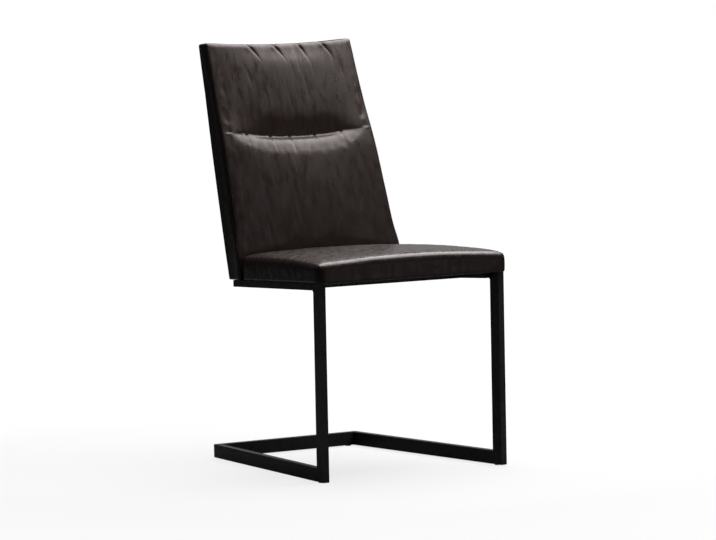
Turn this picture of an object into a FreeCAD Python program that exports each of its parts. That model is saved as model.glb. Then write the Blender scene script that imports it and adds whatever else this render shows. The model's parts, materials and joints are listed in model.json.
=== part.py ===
"""Cantilever dining chair: a flat-tube steel frame that carries an upholstered seat and a reclined back.

Lengths are millimetres and angles degrees. The chair faces -Y, +X is to its left as it faces, +Z is up,
and the origin is the middle of its footprint on the floor. Inside this file, distances in depth count from
the outer front corner of the legs, and heights from the underside of the floor runners; origin_shift and
glide_thick carry them into the part's frame. Run it as a FreeCAD macro: it builds the document and writes
one STEP file a piece into parts/.
"""

import FreeCAD, Part
import math
import os

import Sketcher

V = FreeCAD.Vector
ACROSS = V(1, 0, 0)
REARWARD = V(0, 1, 0)
UP = V(0, 0, 1)
BIG = 1500.0
TOUCH = 1e-3
LEAST_ROUNDING = 0.2
LEFT, RIGHT = -1, 1
SIDE_NAMES = {LEFT: "left", RIGHT: "right"}

# Driving dimensions: alias, value, meaning
SIZES = [
    ("front_width", 480, "width over the outsides of the two legs"),
    ("rear_width", 380, "width over the outsides of the rear floor bar"),
    ("floor_depth", 550, "depth of the frame on the floor, leg front to bar rear"),
    ("rail_underside", 415, "height of the seat rails' underside at the legs"),
    ("rail_slope", 2.5, "fall of the seat rails to the rear"),
    ("rail_stop", 12.2, "rail's rear end ahead of the back's rear lower corner, along the rail"),
    ("rail_width", 30, "width of the flat-laid rail tube"),
    ("rail_height", 15, "height of the flat-laid rail tube"),
    ("tube_depth", 30, "wide side of the leg, runner and bar tube"),
    ("tube_thick", 15, "narrow side of the leg, runner and bar tube"),
    ("tube_wall", 2, "wall of all frame tubes"),
    ("plate_thick", 3, "plate that closes the front end of a rail"),
    ("cap_head", 2, "thickness of a plastic cap's head"),
    ("cap_insert", 12, "length of a plastic cap inside its tube"),
    ("cap_play", 0.15, "play of a cap's insert in its tube, all round"),
    ("cross_depth", 30, "depth of the cross tubes between the rails"),
    ("front_cross_place", 78, "front cross tube's front face behind the legs"),
    ("rear_cross_place", 300, "rear cross tube's front face behind the legs"),
    ("weld_gap", 0.2, "root gap between a cross tube and what it is welded to"),
    ("weld_leg", 3.5, "leg of a fillet weld"),
    ("upright_size", 20, "side of the square tube in the back"),
    ("upright_inset", 9, "upright's outer face from the rail's outer face"),
    ("upright_cover", 8, "soft depth behind the uprights"),
    ("upright_length", 460, "length of an upright along its rear face"),
    ("low_cross_height", 70, "lower back cross tube above the uprights' feet"),
    ("high_cross_drop", 60, "upper back cross tube's underside below the uprights' ends"),
    ("glide_thick", 2, "thickness of a glide's foot under the tubes"),
    ("glide_radius", 6, "radius of a glide's foot"),
    ("glide_stem", 2.8, "radius of a glide's stem"),
    ("glide_stem_length", 7, "length of a glide's stem inside its tube"),
    ("glide_play", 0.1, "play of a glide's stem in its hole"),
    ("glide_place", 24, "distance of a glide from the corner that it stands near"),
    ("seat_overhang", 9, "seat's front ahead of the legs"),
    ("seat_proud", 3, "seat's side beyond the frame's side plane"),
    ("seat_length", 386, "depth of the seat cushion"),
    ("seat_top", 487.5, "height of the crown of the seat"),
    ("seat_crown_place", 170, "depth at which the seat's crown is highest"),
    ("seat_crown_radius", 3000, "radius of the crown of the seat"),
    ("seat_edge_radius", 12, "rounding of the seat's upper edge"),
    ("seat_corner_radius", 16, "rounding of the seat's corners in plan"),
    ("seat_foot_radius", 2.5, "rounding of the seat's lower edge"),
    ("seat_draw", 2, "how far the seat's sides are drawn in between its corners"),
    ("seat_draw_margin", 28, "length at each end of a side of the seat that isn't drawn in"),
    ("seat_hem", 24, "width of the leather's hem under the board"),
    ("leather_thick", 1.5, "thickness of the leather"),
    ("panel_seam", 2.1, "distance of a panel seam from the face that it borders"),
    ("dust_thick", 0.4, "thickness of the dust cover"),
    ("dust_margin", 8, "dust cover's edge inside the seat's outline"),
    ("spacer_thick", 0.5, "thickness of the spacers between rails and seat"),
    ("spacer_radius", 9, "outer radius of a spacer"),
    ("board_thick", 12, "thickness of the seat board"),
    ("board_play", 0.3, "gap between a board's edge and the leather round it"),
    ("front_bolt_place", 55, "front seat bolts behind the legs, along the rail"),
    ("rear_bolt_place", 285, "rear seat bolts behind the legs, along the rail"),
    ("bolt_radius", 3, "radius of the M6 bolts' shanks"),
    ("bolt_play", 0.4, "play of a bolt in its holes"),
    ("head_radius", 5, "radius of a bolt's head"),
    ("head_height", 3.3, "height of a bolt's head"),
    ("socket_radius", 2.3, "corner radius of the hex socket in a bolt's head"),
    ("socket_depth", 2, "depth of the hex socket"),
    ("washer_radius", 7, "outer radius of a washer"),
    ("washer_thick", 1.2, "thickness of a washer"),
    ("nut_radius", 4, "radius of a tee nut's barrel"),
    ("nut_flange_radius", 8.5, "radius of a tee nut's flange"),
    ("nut_flange_thick", 1.2, "thickness of a tee nut's flange"),
    ("nut_length", 9, "length of a tee nut's barrel in the board"),
    ("thread_play", 0.05, "play of a bolt in its nut"),
    ("soft_gap", 0.4, "gap between soft pieces that only touch"),
    ("back_foot_depth", 61, "depth of the back's foot behind the seat"),
    ("back_rise", 0.6, "back's foot above the tops of the rails"),
    ("back_rear_lean", 15.7, "recline of the back's rear face"),
    ("back_front_lean", 19.1, "recline of the back's front face"),
    ("back_top", 940, "height of the back's upper front corners"),
    ("back_top_drop", 4, "fall of the back's top from its front edge to its rear one"),
    ("back_top_depth", 48, "depth of the back at its top"),
    ("back_top_dip", 7, "dip of the back's top edge at its middle"),
    ("back_top_radius", 2500, "radius of the dipping top edge"),
    ("back_rear_radius", 6000, "radius of the bulging rear face"),
    ("back_rear_bulge", 6, "height of the bulge of the rear face"),
    ("back_side_lean", 0.95, "lean of the back's sides towards its middle"),
    ("back_proud", 4.5, "back's side beyond the frame's side plane at the seat"),
    ("back_level", 472, "height at which the back's front plane is set out"),
    ("back_edge_radius", 10, "rounding of the back's edges"),
    ("back_crown_radius", 2400, "radius of the crown of the back's panels, across"),
    ("lower_bulge", 5, "crown of the lower panel where it meets the seat"),
    ("lower_swell", 1.9, "angle by which the lower panel swells towards its seam"),
    ("upper_bulge", 11, "crown of the upper panel, set out at the seat's height"),
    ("upper_taper", 0.6, "angle by which the upper panel flattens towards its top"),
    ("seam_rise", 269, "sewn channel above the seat, up the front plane at its middle"),
    ("seam_radius", 1170, "radius of the sagging curve of the sewn channel"),
    ("channel_depth", 14, "depth of the sewn channel behind the back's front plane"),
    ("wire_radius", 1.2, "radius of the wire that draws the channel in"),
    ("wire_reach", 165, "half the length of the wire"),
    ("back_board_thick", 6, "thickness of the back board"),
    ("back_board_drop", 60, "back board's top edge under the back's top"),
    ("back_bolt_low", 150, "lower back bolts above the uprights' feet"),
    ("back_bolt_high", 330, "upper back bolts above the uprights' feet"),
    ("back_bolt_radius", 2.5, "radius of the M5 back bolts"),
    ("back_head_radius", 5, "radius of a back bolt's head"),
    ("back_head_height", 2.2, "height of a back bolt's head"),
    ("back_nut_height", 4, "height of a back bolt's nut"),
]

# Sizes worked out from the driving ones
WORKED = [
    ("side_yaw", "atan((Sizes.front_width - Sizes.rear_width) / 2 / Sizes.floor_depth)"),
    ("deck_slope", "atan(tan(Sizes.rail_slope) / cos(side_yaw))"),
    ("deck_start", "Sizes.tube_depth * cos(side_yaw)"),
    ("rail_top", "Sizes.rail_underside + Sizes.rail_height / cos(Sizes.rail_slope)"),
    ("runner_outer", "Sizes.floor_depth / cos(side_yaw)"),
    ("runner_inner", "(Sizes.floor_depth - Sizes.tube_thick * (1 - sin(side_yaw))) / cos(side_yaw)"),
    ("bar_inner", "Sizes.front_width / 2 - Sizes.tube_thick * cos(side_yaw) - runner_inner * sin(side_yaw)"),
    ("rail_inner", "Sizes.front_width / 2 - Sizes.rail_width / cos(side_yaw)"),
    ("seat_rear", "Sizes.seat_length - Sizes.seat_overhang"),
    ("back_foot_rear", "seat_rear + Sizes.back_foot_depth"),
    ("rail_length", "(back_foot_rear / cos(side_yaw) - Sizes.tube_depth) / cos(Sizes.rail_slope)"
                    " - Sizes.rail_stop"),
    ("back_foot", "rail_top + Sizes.back_rise - (back_foot_rear - deck_start) * tan(deck_slope)"),
    ("back_rear_top", "back_foot_rear + (Sizes.back_top - Sizes.back_top_drop - back_foot)"
     " * tan(Sizes.back_rear_lean)"),
    ("upright_middle", "Sizes.upright_inset + Sizes.upright_size / 2"),
    ("upright_lean", "atan(tan(Sizes.back_rear_lean) / cos(side_yaw))"),
    ("upright_line", "(back_foot_rear - Sizes.upright_cover / cos(Sizes.back_rear_lean)"
     " + upright_middle * sin(side_yaw)) / cos(side_yaw)"),
    ("upright_foot", "(rail_top + Sizes.tube_depth * tan(Sizes.rail_slope) - tan(Sizes.rail_slope)"
     " * (upright_line - tan(upright_lean) * back_foot)) / (1 + tan(Sizes.rail_slope) * tan(upright_lean))"),
    ("upright_depth", "upright_line + tan(upright_lean) * (upright_foot - back_foot)"),
    ("board_cover", "Sizes.upright_cover + Sizes.upright_size + Sizes.upright_size / 2 * tan(side_yaw)"),
    ("seat_foot", "Sizes.rail_height + Sizes.spacer_thick"),
    ("bolt_length", "Sizes.washer_thick + Sizes.tube_wall + Sizes.spacer_thick + Sizes.leather_thick"
     " + Sizes.board_thick"),
    ("back_bolt_length", "Sizes.upright_size + Sizes.back_board_thick + Sizes.washer_thick"
                         " + Sizes.back_nut_height"),
    ("back_fall", "atan(Sizes.back_top_drop / Sizes.back_top_depth)"),
    ("back_rounding", "(cos(back_fall) + sin(Sizes.back_rear_lean))"
     " / cos(Sizes.back_rear_lean * 1 deg - back_fall) - 1"),
    ("back_reach", "back_rear_top - Sizes.back_edge_radius * back_rounding"),
    ("origin_shift", "(Sizes.seat_overhang - back_reach) / 2"),
]

doc = FreeCAD.newDocument("DiningChair")
nodes = {}


def make_sheet(name, rows, mark=""):
    """A spreadsheet with one aliased cell for each row."""
    sheet = doc.addObject("Spreadsheet::Sheet", name)
    for line, row in enumerate(rows, 1):
        sheet.set("A%d" % line, row[0])
        sheet.set("B%d" % line, mark + str(row[1]))
        sheet.setAlias("B%d" % line, row[0])
        if len(row) > 2:
            sheet.set("C%d" % line, row[2])
    doc.recompute()
    return sheet


sizes = make_sheet("Sizes", SIZES)
worked = make_sheet("Worked", WORKED, "=")


def size(alias):
    """The value of a cell as a plain number."""
    value = getattr(sizes if sizes.getCellFromAlias(alias) else worked, alias)
    return float(getattr(value, "Value", value))


def tan(degrees):
    return math.tan(math.radians(degrees))


def sin(degrees):
    return math.sin(math.radians(degrees))


def cos(degrees):
    return math.cos(math.radians(degrees))


# Sketches and bodies


def empty_sketch(body, label, role, height="0"):
    """A sketch on one of the body's own origin planes, lifted off it by a formula."""
    sketch = body.newObject("Sketcher::SketchObject", label)
    plane = next(item for item in body.Origin.OriginFeatures if item.Role == role)
    sketch.AttachmentSupport = [(plane, "")]
    sketch.MapMode = "FlatFace"
    sketch.setExpression("AttachmentOffset.Base.z", height)
    sketch.Visibility = False
    return sketch


def bind(sketch, kind, places, start, formula):
    """A dimension of a sketch that follows a formula."""
    index = sketch.addConstraint(Sketcher.Constraint(kind, *places, start))
    sketch.setExpression("Constraints[%d]" % index, formula)


def polygon(body, label, role, corners, height="0"):
    """A closed sketch whose corners are pairs of formulas."""
    sketch = empty_sketch(body, label, role, height)
    count = len(corners)
    ring = [V(cos(360.0 * i / count), sin(360.0 * i / count), 0) * 50 for i in range(count)]
    for i in range(count):
        sketch.addGeometry(Part.LineSegment(ring[i], ring[(i + 1) % count]))
    for i in range(count):
        sketch.addConstraint(Sketcher.Constraint("Coincident", i, 2, (i + 1) % count, 1))
    for i, (across, along) in enumerate(corners):
        bind(sketch, "DistanceX", (i, 1), ring[i].x, across)
        bind(sketch, "DistanceY", (i, 1), ring[i].y, along)
    return sketch


def circle(body, label, centre, radius, height="0", role="XY_Plane"):
    """A sketch of one circle whose centre and radius are formulas."""
    sketch = empty_sketch(body, label, role, height)
    sketch.addGeometry(Part.Circle(V(1, 1, 0), UP, 1))
    bind(sketch, "DistanceX", (0, 3), 1.0, centre[0])
    bind(sketch, "DistanceY", (0, 3), 1.0, centre[1])
    bind(sketch, "Radius", (0,), 1.0, radius)
    return sketch


def hexagon(body, label, radius, height="0"):
    """A sketch of a regular hexagon round the body's Z axis."""
    corners = [("(%s) * %f" % (radius, cos(60 * i)), "(%s) * %f" % (radius, sin(60 * i))) for i in range(6)]
    return polygon(body, label, "XY_Plane", corners, height)


def feature(body, kind, label, sketch, length):
    """A pad or pocket, half of its length to each side of its sketch."""
    made = body.newObject("PartDesign::" + kind, label)
    made.Profile = sketch
    made.SideType = "Symmetric"
    made.setExpression("Length", length)
    return made


def new_body(label, place="", keep=True):
    body = doc.addObject("PartDesign::Body", label)
    body.Label = label
    if place:
        body.setExpression("Placement", place)
    if keep:
        nodes[label] = body
    return body


def bar(label, place, role, outline, width):
    """A solid bar: an outline padded to both sides of its plane."""
    body = new_body(label, place)
    feature(body, "Pad", label + "_pad", polygon(body, label + "_outline", role, outline), width)
    return body


def tube(label, place, role, outline, bore, width):
    """A tube: a bar with a bore that runs out of both ends."""
    body = bar(label, place, role, outline, width)
    hollow = polygon(body, label + "_bore", role, bore)
    feature(body, "Pocket", label + "_hollow", hollow, width + " - 2 * Sizes.tube_wall")
    return body


def drill(body, label, centre, radius, height="0", length="4 * Sizes.tube_depth", role="XY_Plane"):
    """A round hole square to one of the body's origin planes."""
    outline = circle(body, label + "_circle", centre, radius, height, role)
    return feature(body, "Pocket", label, outline, length)


def spin(axis, angle):
    return "rotation(vector(%s); %s)" % ("; ".join(axis), angle)


def in_side_plane(side, inset, depth="0", height="0", tilt="0"):
    """Placement of a body in the vertical plane of one side frame, inset from its outer face."""
    x = "%d * (Sizes.front_width / 2 - (%s) * cos(Worked.side_yaw))" % (side, inset)
    y = "Worked.origin_shift - (%s) * sin(Worked.side_yaw)" % inset
    turn = spin("001", "%d * Worked.side_yaw" % side)
    frame = "placement(vector(%s; %s; Sizes.glide_thick); %s)" % (x, y, turn)
    local = "placement(vector(0; %s; %s); %s)" % (depth, height, spin("100", "-1 * (%s)" % tilt))
    return frame + " * " + local


def on_deck(height):
    """Placement of a body in the plane of the rails, at a height above their underside."""
    start = "vector(0; Worked.origin_shift + Worked.deck_start; Sizes.glide_thick + Sizes.rail_underside)"
    turned = "placement(%s; %s)" % (start, spin("100", "-1 * Worked.deck_slope"))
    return turned + " * placement(vector(0; 0; %s); %s)" % (height, spin("001", "0"))


# Frame


def make_leg(side):
    """A leg, mitred at its foot to the runner, with its top end open for a cap."""
    depth, wall = "Sizes.tube_depth", "Sizes.tube_wall"
    top = "Sizes.rail_underside + Sizes.rail_height - Sizes.cap_head"
    outline = [("0", "0"), (depth, depth), (depth, top), ("0", top)]
    bore = [(wall, "-1 * " + depth), (depth + " - " + wall, "-1 * " + depth),
            (depth + " - " + wall, top + " + " + wall), (wall, top + " + " + wall)]
    place = in_side_plane(side, "Sizes.tube_thick / 2")
    tube(SIDE_NAMES[side] + "_front_leg", place, "YZ_Plane", outline, bore, "Sizes.tube_thick")


def make_runner(side):
    """A floor runner, mitred to the leg in the side plane and to the rear bar in plan."""
    name = SIDE_NAMES[side] + "_floor_runner"
    depth, wall, half = "Sizes.tube_depth", "Sizes.tube_wall", "Sizes.tube_thick / 2"
    end, beyond = "Worked.runner_outer", "Worked.runner_outer + Sizes.tube_thick"
    outline = [("0", "0"), (end, "0"), (end, depth), (depth, depth)]
    bore = [("-1 * " + depth, wall), (beyond, wall), (beyond, depth + " - " + wall),
            ("-1 * " + depth, depth + " - " + wall)]
    body = tube(name, in_side_plane(side, half), "YZ_Plane", outline, bore, "Sizes.tube_thick")
    outer, inner = "%d * %s" % (side, half), "%d * %s" % (-side, half)
    mitre = [(outer, end), (inner, "Worked.runner_inner"), (inner, beyond), (outer, beyond)]
    feature(body, "Pocket", name + "_mitre", polygon(body, name + "_mitre_outline", "XY_Plane", mitre),
            "4 * Sizes.tube_depth")
    drill(body, name + "_glide_hole", ("0", "Sizes.glide_place"), "Sizes.glide_stem + Sizes.glide_play",
          length="3 * Sizes.tube_wall")


def make_rear_bar():
    """The bar across the floor at the rear, mitred at both ends."""
    place = ("placement(vector(0; Worked.origin_shift; Sizes.glide_thick + Sizes.tube_depth / 2); "
             + spin("001", "0") + ")")
    outer, inner, less = "Sizes.rear_width / 2", "Worked.bar_inner", "-1 * "
    rear, front, wall = "Sizes.floor_depth", "Sizes.floor_depth - Sizes.tube_thick", "Sizes.tube_wall"
    outline = [(less + outer, rear), (less + inner, front), (inner, front), (outer, rear)]
    bore = [(less + outer, rear + " - " + wall), (less + outer, front + " + " + wall),
            (outer, front + " + " + wall), (outer, rear + " - " + wall)]
    body = tube("rear_floor_bar", place, "XY_Plane", outline, bore, "Sizes.tube_depth")
    for side in (LEFT, RIGHT):
        centre = ("%d * (%s - Sizes.glide_place)" % (side, outer), rear + " - Sizes.tube_thick / 2")
        drill(body, SIDE_NAMES[side] + "_rear_glide_hole", centre, "Sizes.glide_stem + Sizes.glide_play",
              "-1 * Sizes.tube_depth / 2", "3 * Sizes.tube_wall")


def make_rail(side):
    """A seat rail: the tube laid flat, with bolt holes above and wider holes for the heads below."""
    name = SIDE_NAMES[side] + "_seat_rail"
    tall, wall, end = "Sizes.rail_height", "Sizes.tube_wall", "Worked.rail_length"
    low = "Sizes.plate_thick / cos(Sizes.rail_slope)"
    high = low + " + Sizes.rail_height * tan(Sizes.rail_slope)"
    outline = [(low, "0"), (end, "0"), (end, tall), (high, tall)]
    beyond, roof = end + " + " + wall, tall + " - " + wall
    bore = [("0", wall), (beyond, wall), (beyond, roof), ("0", roof)]
    place = in_side_plane(side, "Sizes.rail_width / 2", "Sizes.tube_depth", "Sizes.rail_underside",
                          "Sizes.rail_slope")
    body = tube(name, place, "YZ_Plane", outline, bore, "Sizes.rail_width")
    for label, where in (("front", "Sizes.front_bolt_place"), ("rear", "Sizes.rear_bolt_place")):
        drill(body, name + "_" + label + "_bolt_hole", ("0", where), "Sizes.bolt_radius + Sizes.bolt_play")
        drill(body, name + "_" + label + "_access_hole", ("0", where), "Sizes.washer_radius + Sizes.bolt_play",
              length="3 * Sizes.tube_wall")


def make_rail_plate(side):
    """The plate between the leg's rear face and the rail's front end."""
    near, far = "Sizes.tube_depth", "Sizes.tube_depth + Sizes.plate_thick"
    low = "Sizes.rail_underside - Sizes.plate_thick * tan(Sizes.rail_slope)"
    high = "Worked.rail_top - Sizes.plate_thick * tan(Sizes.rail_slope)"
    outline = [(near, low), (far, low), (far, high), (near, high)]
    bar(SIDE_NAMES[side] + "_rail_front_plate", in_side_plane(side, "Sizes.rail_width / 2"), "YZ_Plane", outline,
        "Sizes.rail_width")


def make_cap(name, place, length, width, upright):
    """A plastic cap: its head closes a tube's end and its insert grips inside."""
    fit = "(Sizes.tube_wall + Sizes.cap_play)"

    def rectangle(low, high, start, end):
        """Corners from low to high along the tube, and from start to end across it."""
        corners = [(low, start), (high, start), (high, end), (low, end)]
        return [(across, along) for along, across in corners] if upright else corners

    body = bar(name, place, "YZ_Plane", rectangle("0", "Sizes.cap_head", "0", length), width)
    stub = rectangle("-1 * Sizes.cap_insert", "0", fit, length + " - " + fit)
    feature(body, "Pad", name + "_insert", polygon(body, name + "_insert_outline", "YZ_Plane", stub),
            width + " - 2 * " + fit)


def make_caps(side):
    """The cap in the leg's top end and the cap in the rail's rear end."""
    top = "Sizes.rail_underside + Sizes.rail_height - Sizes.cap_head"
    make_cap(SIDE_NAMES[side] + "_leg_cap", in_side_plane(side, "Sizes.tube_thick / 2", "0", top),
             "Sizes.tube_depth", "Sizes.tube_thick", True)
    depth = "Sizes.tube_depth + Worked.rail_length * cos(Sizes.rail_slope)"
    height = "Sizes.rail_underside - Worked.rail_length * sin(Sizes.rail_slope)"
    place = in_side_plane(side, "Sizes.rail_width / 2", depth, height, "Sizes.rail_slope")
    make_cap(SIDE_NAMES[side] + "_rail_rear_cap", place, "Sizes.rail_height", "Sizes.rail_width", False)


def make_cross_tube(name, place, near, far, reach, width):
    """A tube across the chair. reach is the formula of its half length at a distance along its own Y axis."""
    wide, wall = "Sizes.front_width", "Sizes.tube_wall"
    outline = [("-1 * " + reach(near), near), (reach(near), near), (reach(far), far), ("-1 * " + reach(far), far)]
    bore = [("-1 * " + wide, near + " + " + wall), (wide, near + " + " + wall), (wide, far + " - " + wall),
            ("-1 * " + wide, far + " - " + wall)]
    return tube(name, place, "XY_Plane", outline, bore, width)


def make_seat_cross_tubes():
    """The two tubes between the rails, their ends cut along the rails' inner faces."""

    def reach(place):
        depth = "(Worked.deck_start + (%s) * cos(Worked.deck_slope))" % place
        return "(Worked.rail_inner - %s * tan(Worked.side_yaw) - Sizes.weld_gap)" % depth

    for name, near in (("front", "Sizes.front_cross_place"), ("rear", "Sizes.rear_cross_place")):
        make_cross_tube(name + "_seat_cross_tube", on_deck("Sizes.rail_height / 2"), near,
                        near + " + Sizes.cross_depth", reach, "Sizes.rail_height")


def make_upright(side):
    """A square tube in the back. It stands on the rail and leans as the back's rear face does."""
    name = SIDE_NAMES[side] + "_back_upright"
    end, wide, wall = "Sizes.upright_length", "Sizes.upright_size", "Sizes.tube_wall"
    front, lean = "-1 * Sizes.upright_size", "Worked.upright_lean"
    front_foot = "%s * tan(%s - Sizes.rail_slope * 1 deg)" % (front, lean)
    outline = [("0", "0"), ("0", end), (front, end), (front, front_foot)]
    near, far = "-1 * " + wall, front + " + " + wall
    bore = [(near, front), (near, end + " + " + wall), (far, end + " + " + wall), (far, front)]
    place = in_side_plane(side, "Worked.upright_middle", "Worked.upright_depth", "Worked.upright_foot", lean)
    body = tube(name, place, "YZ_Plane", outline, bore, wide)
    for label, height in (("low", "Sizes.back_bolt_low"), ("high", "Sizes.back_bolt_high")):
        drill(body, "%s_%s_bolt_hole" % (name, label), ("0", height), "Sizes.back_bolt_radius + Sizes.bolt_play",
              role="XZ_Plane")


def make_back_cross_tubes():
    """The two tubes between the uprights, inside the back."""
    high = "(Sizes.upright_length - Sizes.high_cross_drop)"
    for name, height in (("lower", "Sizes.low_cross_height"), ("upper", high)):
        rise = "(%s + Sizes.upright_size)" % height
        line = "(Worked.back_foot_rear + %s * sin(Sizes.back_rear_lean))" % rise
        start = "vector(0; Worked.origin_shift + Worked.back_foot_rear; Sizes.glide_thick + Worked.back_foot)"
        place = ("placement(%s; %s) * placement(vector(0; -1 * Worked.board_cover; %s); %s)"
                 % (start, spin("100", "-1 * Sizes.back_rear_lean"), height, spin("001", "0")))

        def reach(forward):
            depth = "(%s + (%s - Sizes.upright_size) * cos(Sizes.back_rear_lean))" % (line, forward)
            face = "(Sizes.front_width / 2 - (Sizes.upright_inset + Sizes.upright_size) / cos(Worked.side_yaw))"
            return "(%s - %s * tan(Worked.side_yaw) - Sizes.weld_gap)" % (face, depth)

        make_cross_tube(name + "_back_cross_tube", place, "0 * Sizes.upright_size", "Sizes.upright_size", reach,
                        "Sizes.upright_size")


# Frames of reference for the pieces that are cut to each other


def deck_frame():
    """The plane of the rails' underside: X across, Y rearward along it, Z square to it."""
    start = V(0, size("deck_start"), size("rail_underside"))
    return FreeCAD.Placement(start, FreeCAD.Rotation(ACROSS, -size("deck_slope")))


def rail_frame(side, inset=0.0):
    """A rail's own frame at its front end, inset from its outer face: Y along it, Z up."""
    yaw = side * size("side_yaw")
    base = V(side * (size("front_width") / 2 - inset * cos(yaw)), -inset * abs(sin(yaw)), 0)
    plane = FreeCAD.Placement(base, FreeCAD.Rotation(UP, yaw))
    start = V(0, size("tube_depth"), size("rail_underside"))
    return plane.multiply(FreeCAD.Placement(start, FreeCAD.Rotation(ACROSS, -size("rail_slope"))))


def upright_frame(side):
    """An upright's own frame at its rear foot corner, in its middle plane: Y rearward, Z up along it."""
    yaw = side * size("side_yaw")
    inset = size("upright_middle")
    base = V(side * (size("front_width") / 2 - inset * cos(yaw)), -inset * abs(sin(yaw)), 0)
    start = V(0, size("upright_depth"), size("upright_foot"))
    lean = FreeCAD.Placement(start, FreeCAD.Rotation(ACROSS, -size("upright_lean")))
    return FreeCAD.Placement(base, FreeCAD.Rotation(UP, yaw)).multiply(lean)


def front_frame():
    """The back's front plane, set out at the seat: X across, Y into the back, Z up the plane."""
    lean = size("back_front_lean")
    rise = size("back_top") - size("back_level")
    depth = size("back_rear_top") - size("back_top_depth") - rise * tan(lean)
    return FreeCAD.Placement(V(0, depth, size("back_level")), FreeCAD.Rotation(ACROSS, -lean))


def rear_frame():
    """The back's rear plane, set out at its foot: X across, Y rearward, Z up the plane."""
    base = V(0, size("back_foot_rear"), size("back_foot"))
    return FreeCAD.Placement(base, FreeCAD.Rotation(ACROSS, -size("back_rear_lean")))


def top_frame():
    """The back's top plane at its front edge: X across, Y rearward, Z square to it."""
    base = V(0, size("back_rear_top") - size("back_top_depth"), size("back_top"))
    return FreeCAD.Placement(base, FreeCAD.Rotation(ACROSS, -size("back_fall")))


def side_frame(side, proud, lean, level):
    """A soft side's plane: Y rearward along it and Z up along it. X points the same way as across."""
    yaw = side * size("side_yaw")
    base = V(side * (size("front_width") / 2 + proud / cos(yaw)), 0, level)
    turn = FreeCAD.Rotation(UP, yaw).multiply(FreeCAD.Rotation(REARWARD, -side * lean))
    return FreeCAD.Placement(base, turn)


def block(low, high, frame=None):
    """A box between two corners that are given as triples, in a frame. None stands for far away."""
    ends = [[(-BIG, BIG)[end] if value is None else value for value in corner]
            for end, corner in enumerate((low, high))]
    box = Part.makeBox(*(ends[1][i] - ends[0][i] for i in range(3)), V(*ends[0]))
    if frame:
        box.Placement = frame
    return box


def rod(radius, start, direction, length, frame=None):
    """A round bar in a frame."""
    made = Part.makeCylinder(radius, length, V(*start), V(*direction))
    if frame:
        made.Placement = frame
    return made


def long_rod(radius, centre, direction, frame=None):
    """A round bar that runs far to both sides of its centre."""
    axis = V(*direction).normalize()
    return rod(radius, V(*centre) - axis * BIG, axis, 2 * BIG, frame)


def inside_side(side, inset, proud, lean=0.0, level=0.0):
    """The space on the chair's side of a soft side's plane, moved in by inset."""
    low, high = ((inset, None, None), (None,) * 3) if side == LEFT else ((None,) * 3, (-inset, None, None))
    return block(low, high, side_frame(side, proud, lean, level))


def edges_at(shape, test):
    """The edges whose ends and middle all pass a test."""
    found = []
    for edge in shape.Edges:
        low, high = edge.ParameterRange
        points = [edge.valueAt(low + (high - low) * share) for share in (0.02, 0.5, 0.98)]
        if all(test(point) for point in points):
            found.append(edge)
    return found


def rounded(shape, radius, test):
    """A shape with the edges that pass a test rounded, if the radius leaves any rounding."""
    if radius < LEAST_ROUNDING:
        return shape
    return shape.makeFillet(radius, edges_at(shape, test))


def only_solid(shape):
    """The largest solid of a cut shape."""
    return max(shape.Solids, key=lambda solid: solid.Volume)


def add(name, shape):
    """A piece whose shape is given in the chair's own coordinates."""
    made = doc.addObject("Part::Feature", name)
    made.Label = name
    made.Shape = shape
    shift = FreeCAD.Placement(V(0, size("origin_shift"), size("glide_thick")), FreeCAD.Rotation())
    made.Placement = shift.multiply(made.Placement)
    nodes[name] = made
    return made


def filled(name):
    """A tube's outside without its bore, in the chair's own coordinates."""
    shape = doc.getObject(name + "_pad").Shape.copy()
    shift = FreeCAD.Placement(V(0, -size("origin_shift"), -size("glide_thick")), FreeCAD.Rotation())
    shape.Placement = shift.multiply(nodes[name].Placement).multiply(shape.Placement)
    return shape


# Fasteners


def turned_form(name, layers):
    """A pattern for fasteners round a Z axis. Layers are a feature, a radius, the lower and the upper end."""
    body = new_body(name, keep=False)
    for step, (kind, radius, low, high) in enumerate(layers):
        label = "%s_layer_%d" % (name, step)
        height = "((%s) + (%s)) / 2" % (low, high)
        if kind.startswith("Hex"):
            sketch = hexagon(body, label + "_outline", radius, height)
        else:
            sketch = circle(body, label + "_outline", ("0", "0"), radius, height)
        feature(body, kind.replace("Hex", ""), label, sketch, "(%s) - (%s)" % (high, low))
    doc.recompute()
    return body.Shape


def group(name, shape, frames):
    """One node for like pieces, one at each frame."""
    copies = []
    for frame in frames:
        copy = shape.copy()
        copy.Placement = frame
        copies.append(copy)
    add(name, Part.Compound(copies))
    return copies


def rail_spots(height):
    """Frames of the four seat bolts at a height above the rails' underside."""
    half = size("rail_width") / 2
    places = (size("front_bolt_place"), size("rear_bolt_place"))
    return [rail_frame(side, half).multiply(FreeCAD.Placement(V(0, place, height), FreeCAD.Rotation()))
            for side in (LEFT, RIGHT) for place in places]


def upright_spots(depth):
    """Frames of the four back bolts, Z rearward, at a depth behind the uprights' rear faces."""
    places = (size("back_bolt_low"), size("back_bolt_high"))
    turn = FreeCAD.Rotation(ACROSS, -90)
    return [upright_frame(side).multiply(FreeCAD.Placement(V(0, depth, place), turn))
            for side in (LEFT, RIGHT) for place in places]


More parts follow.
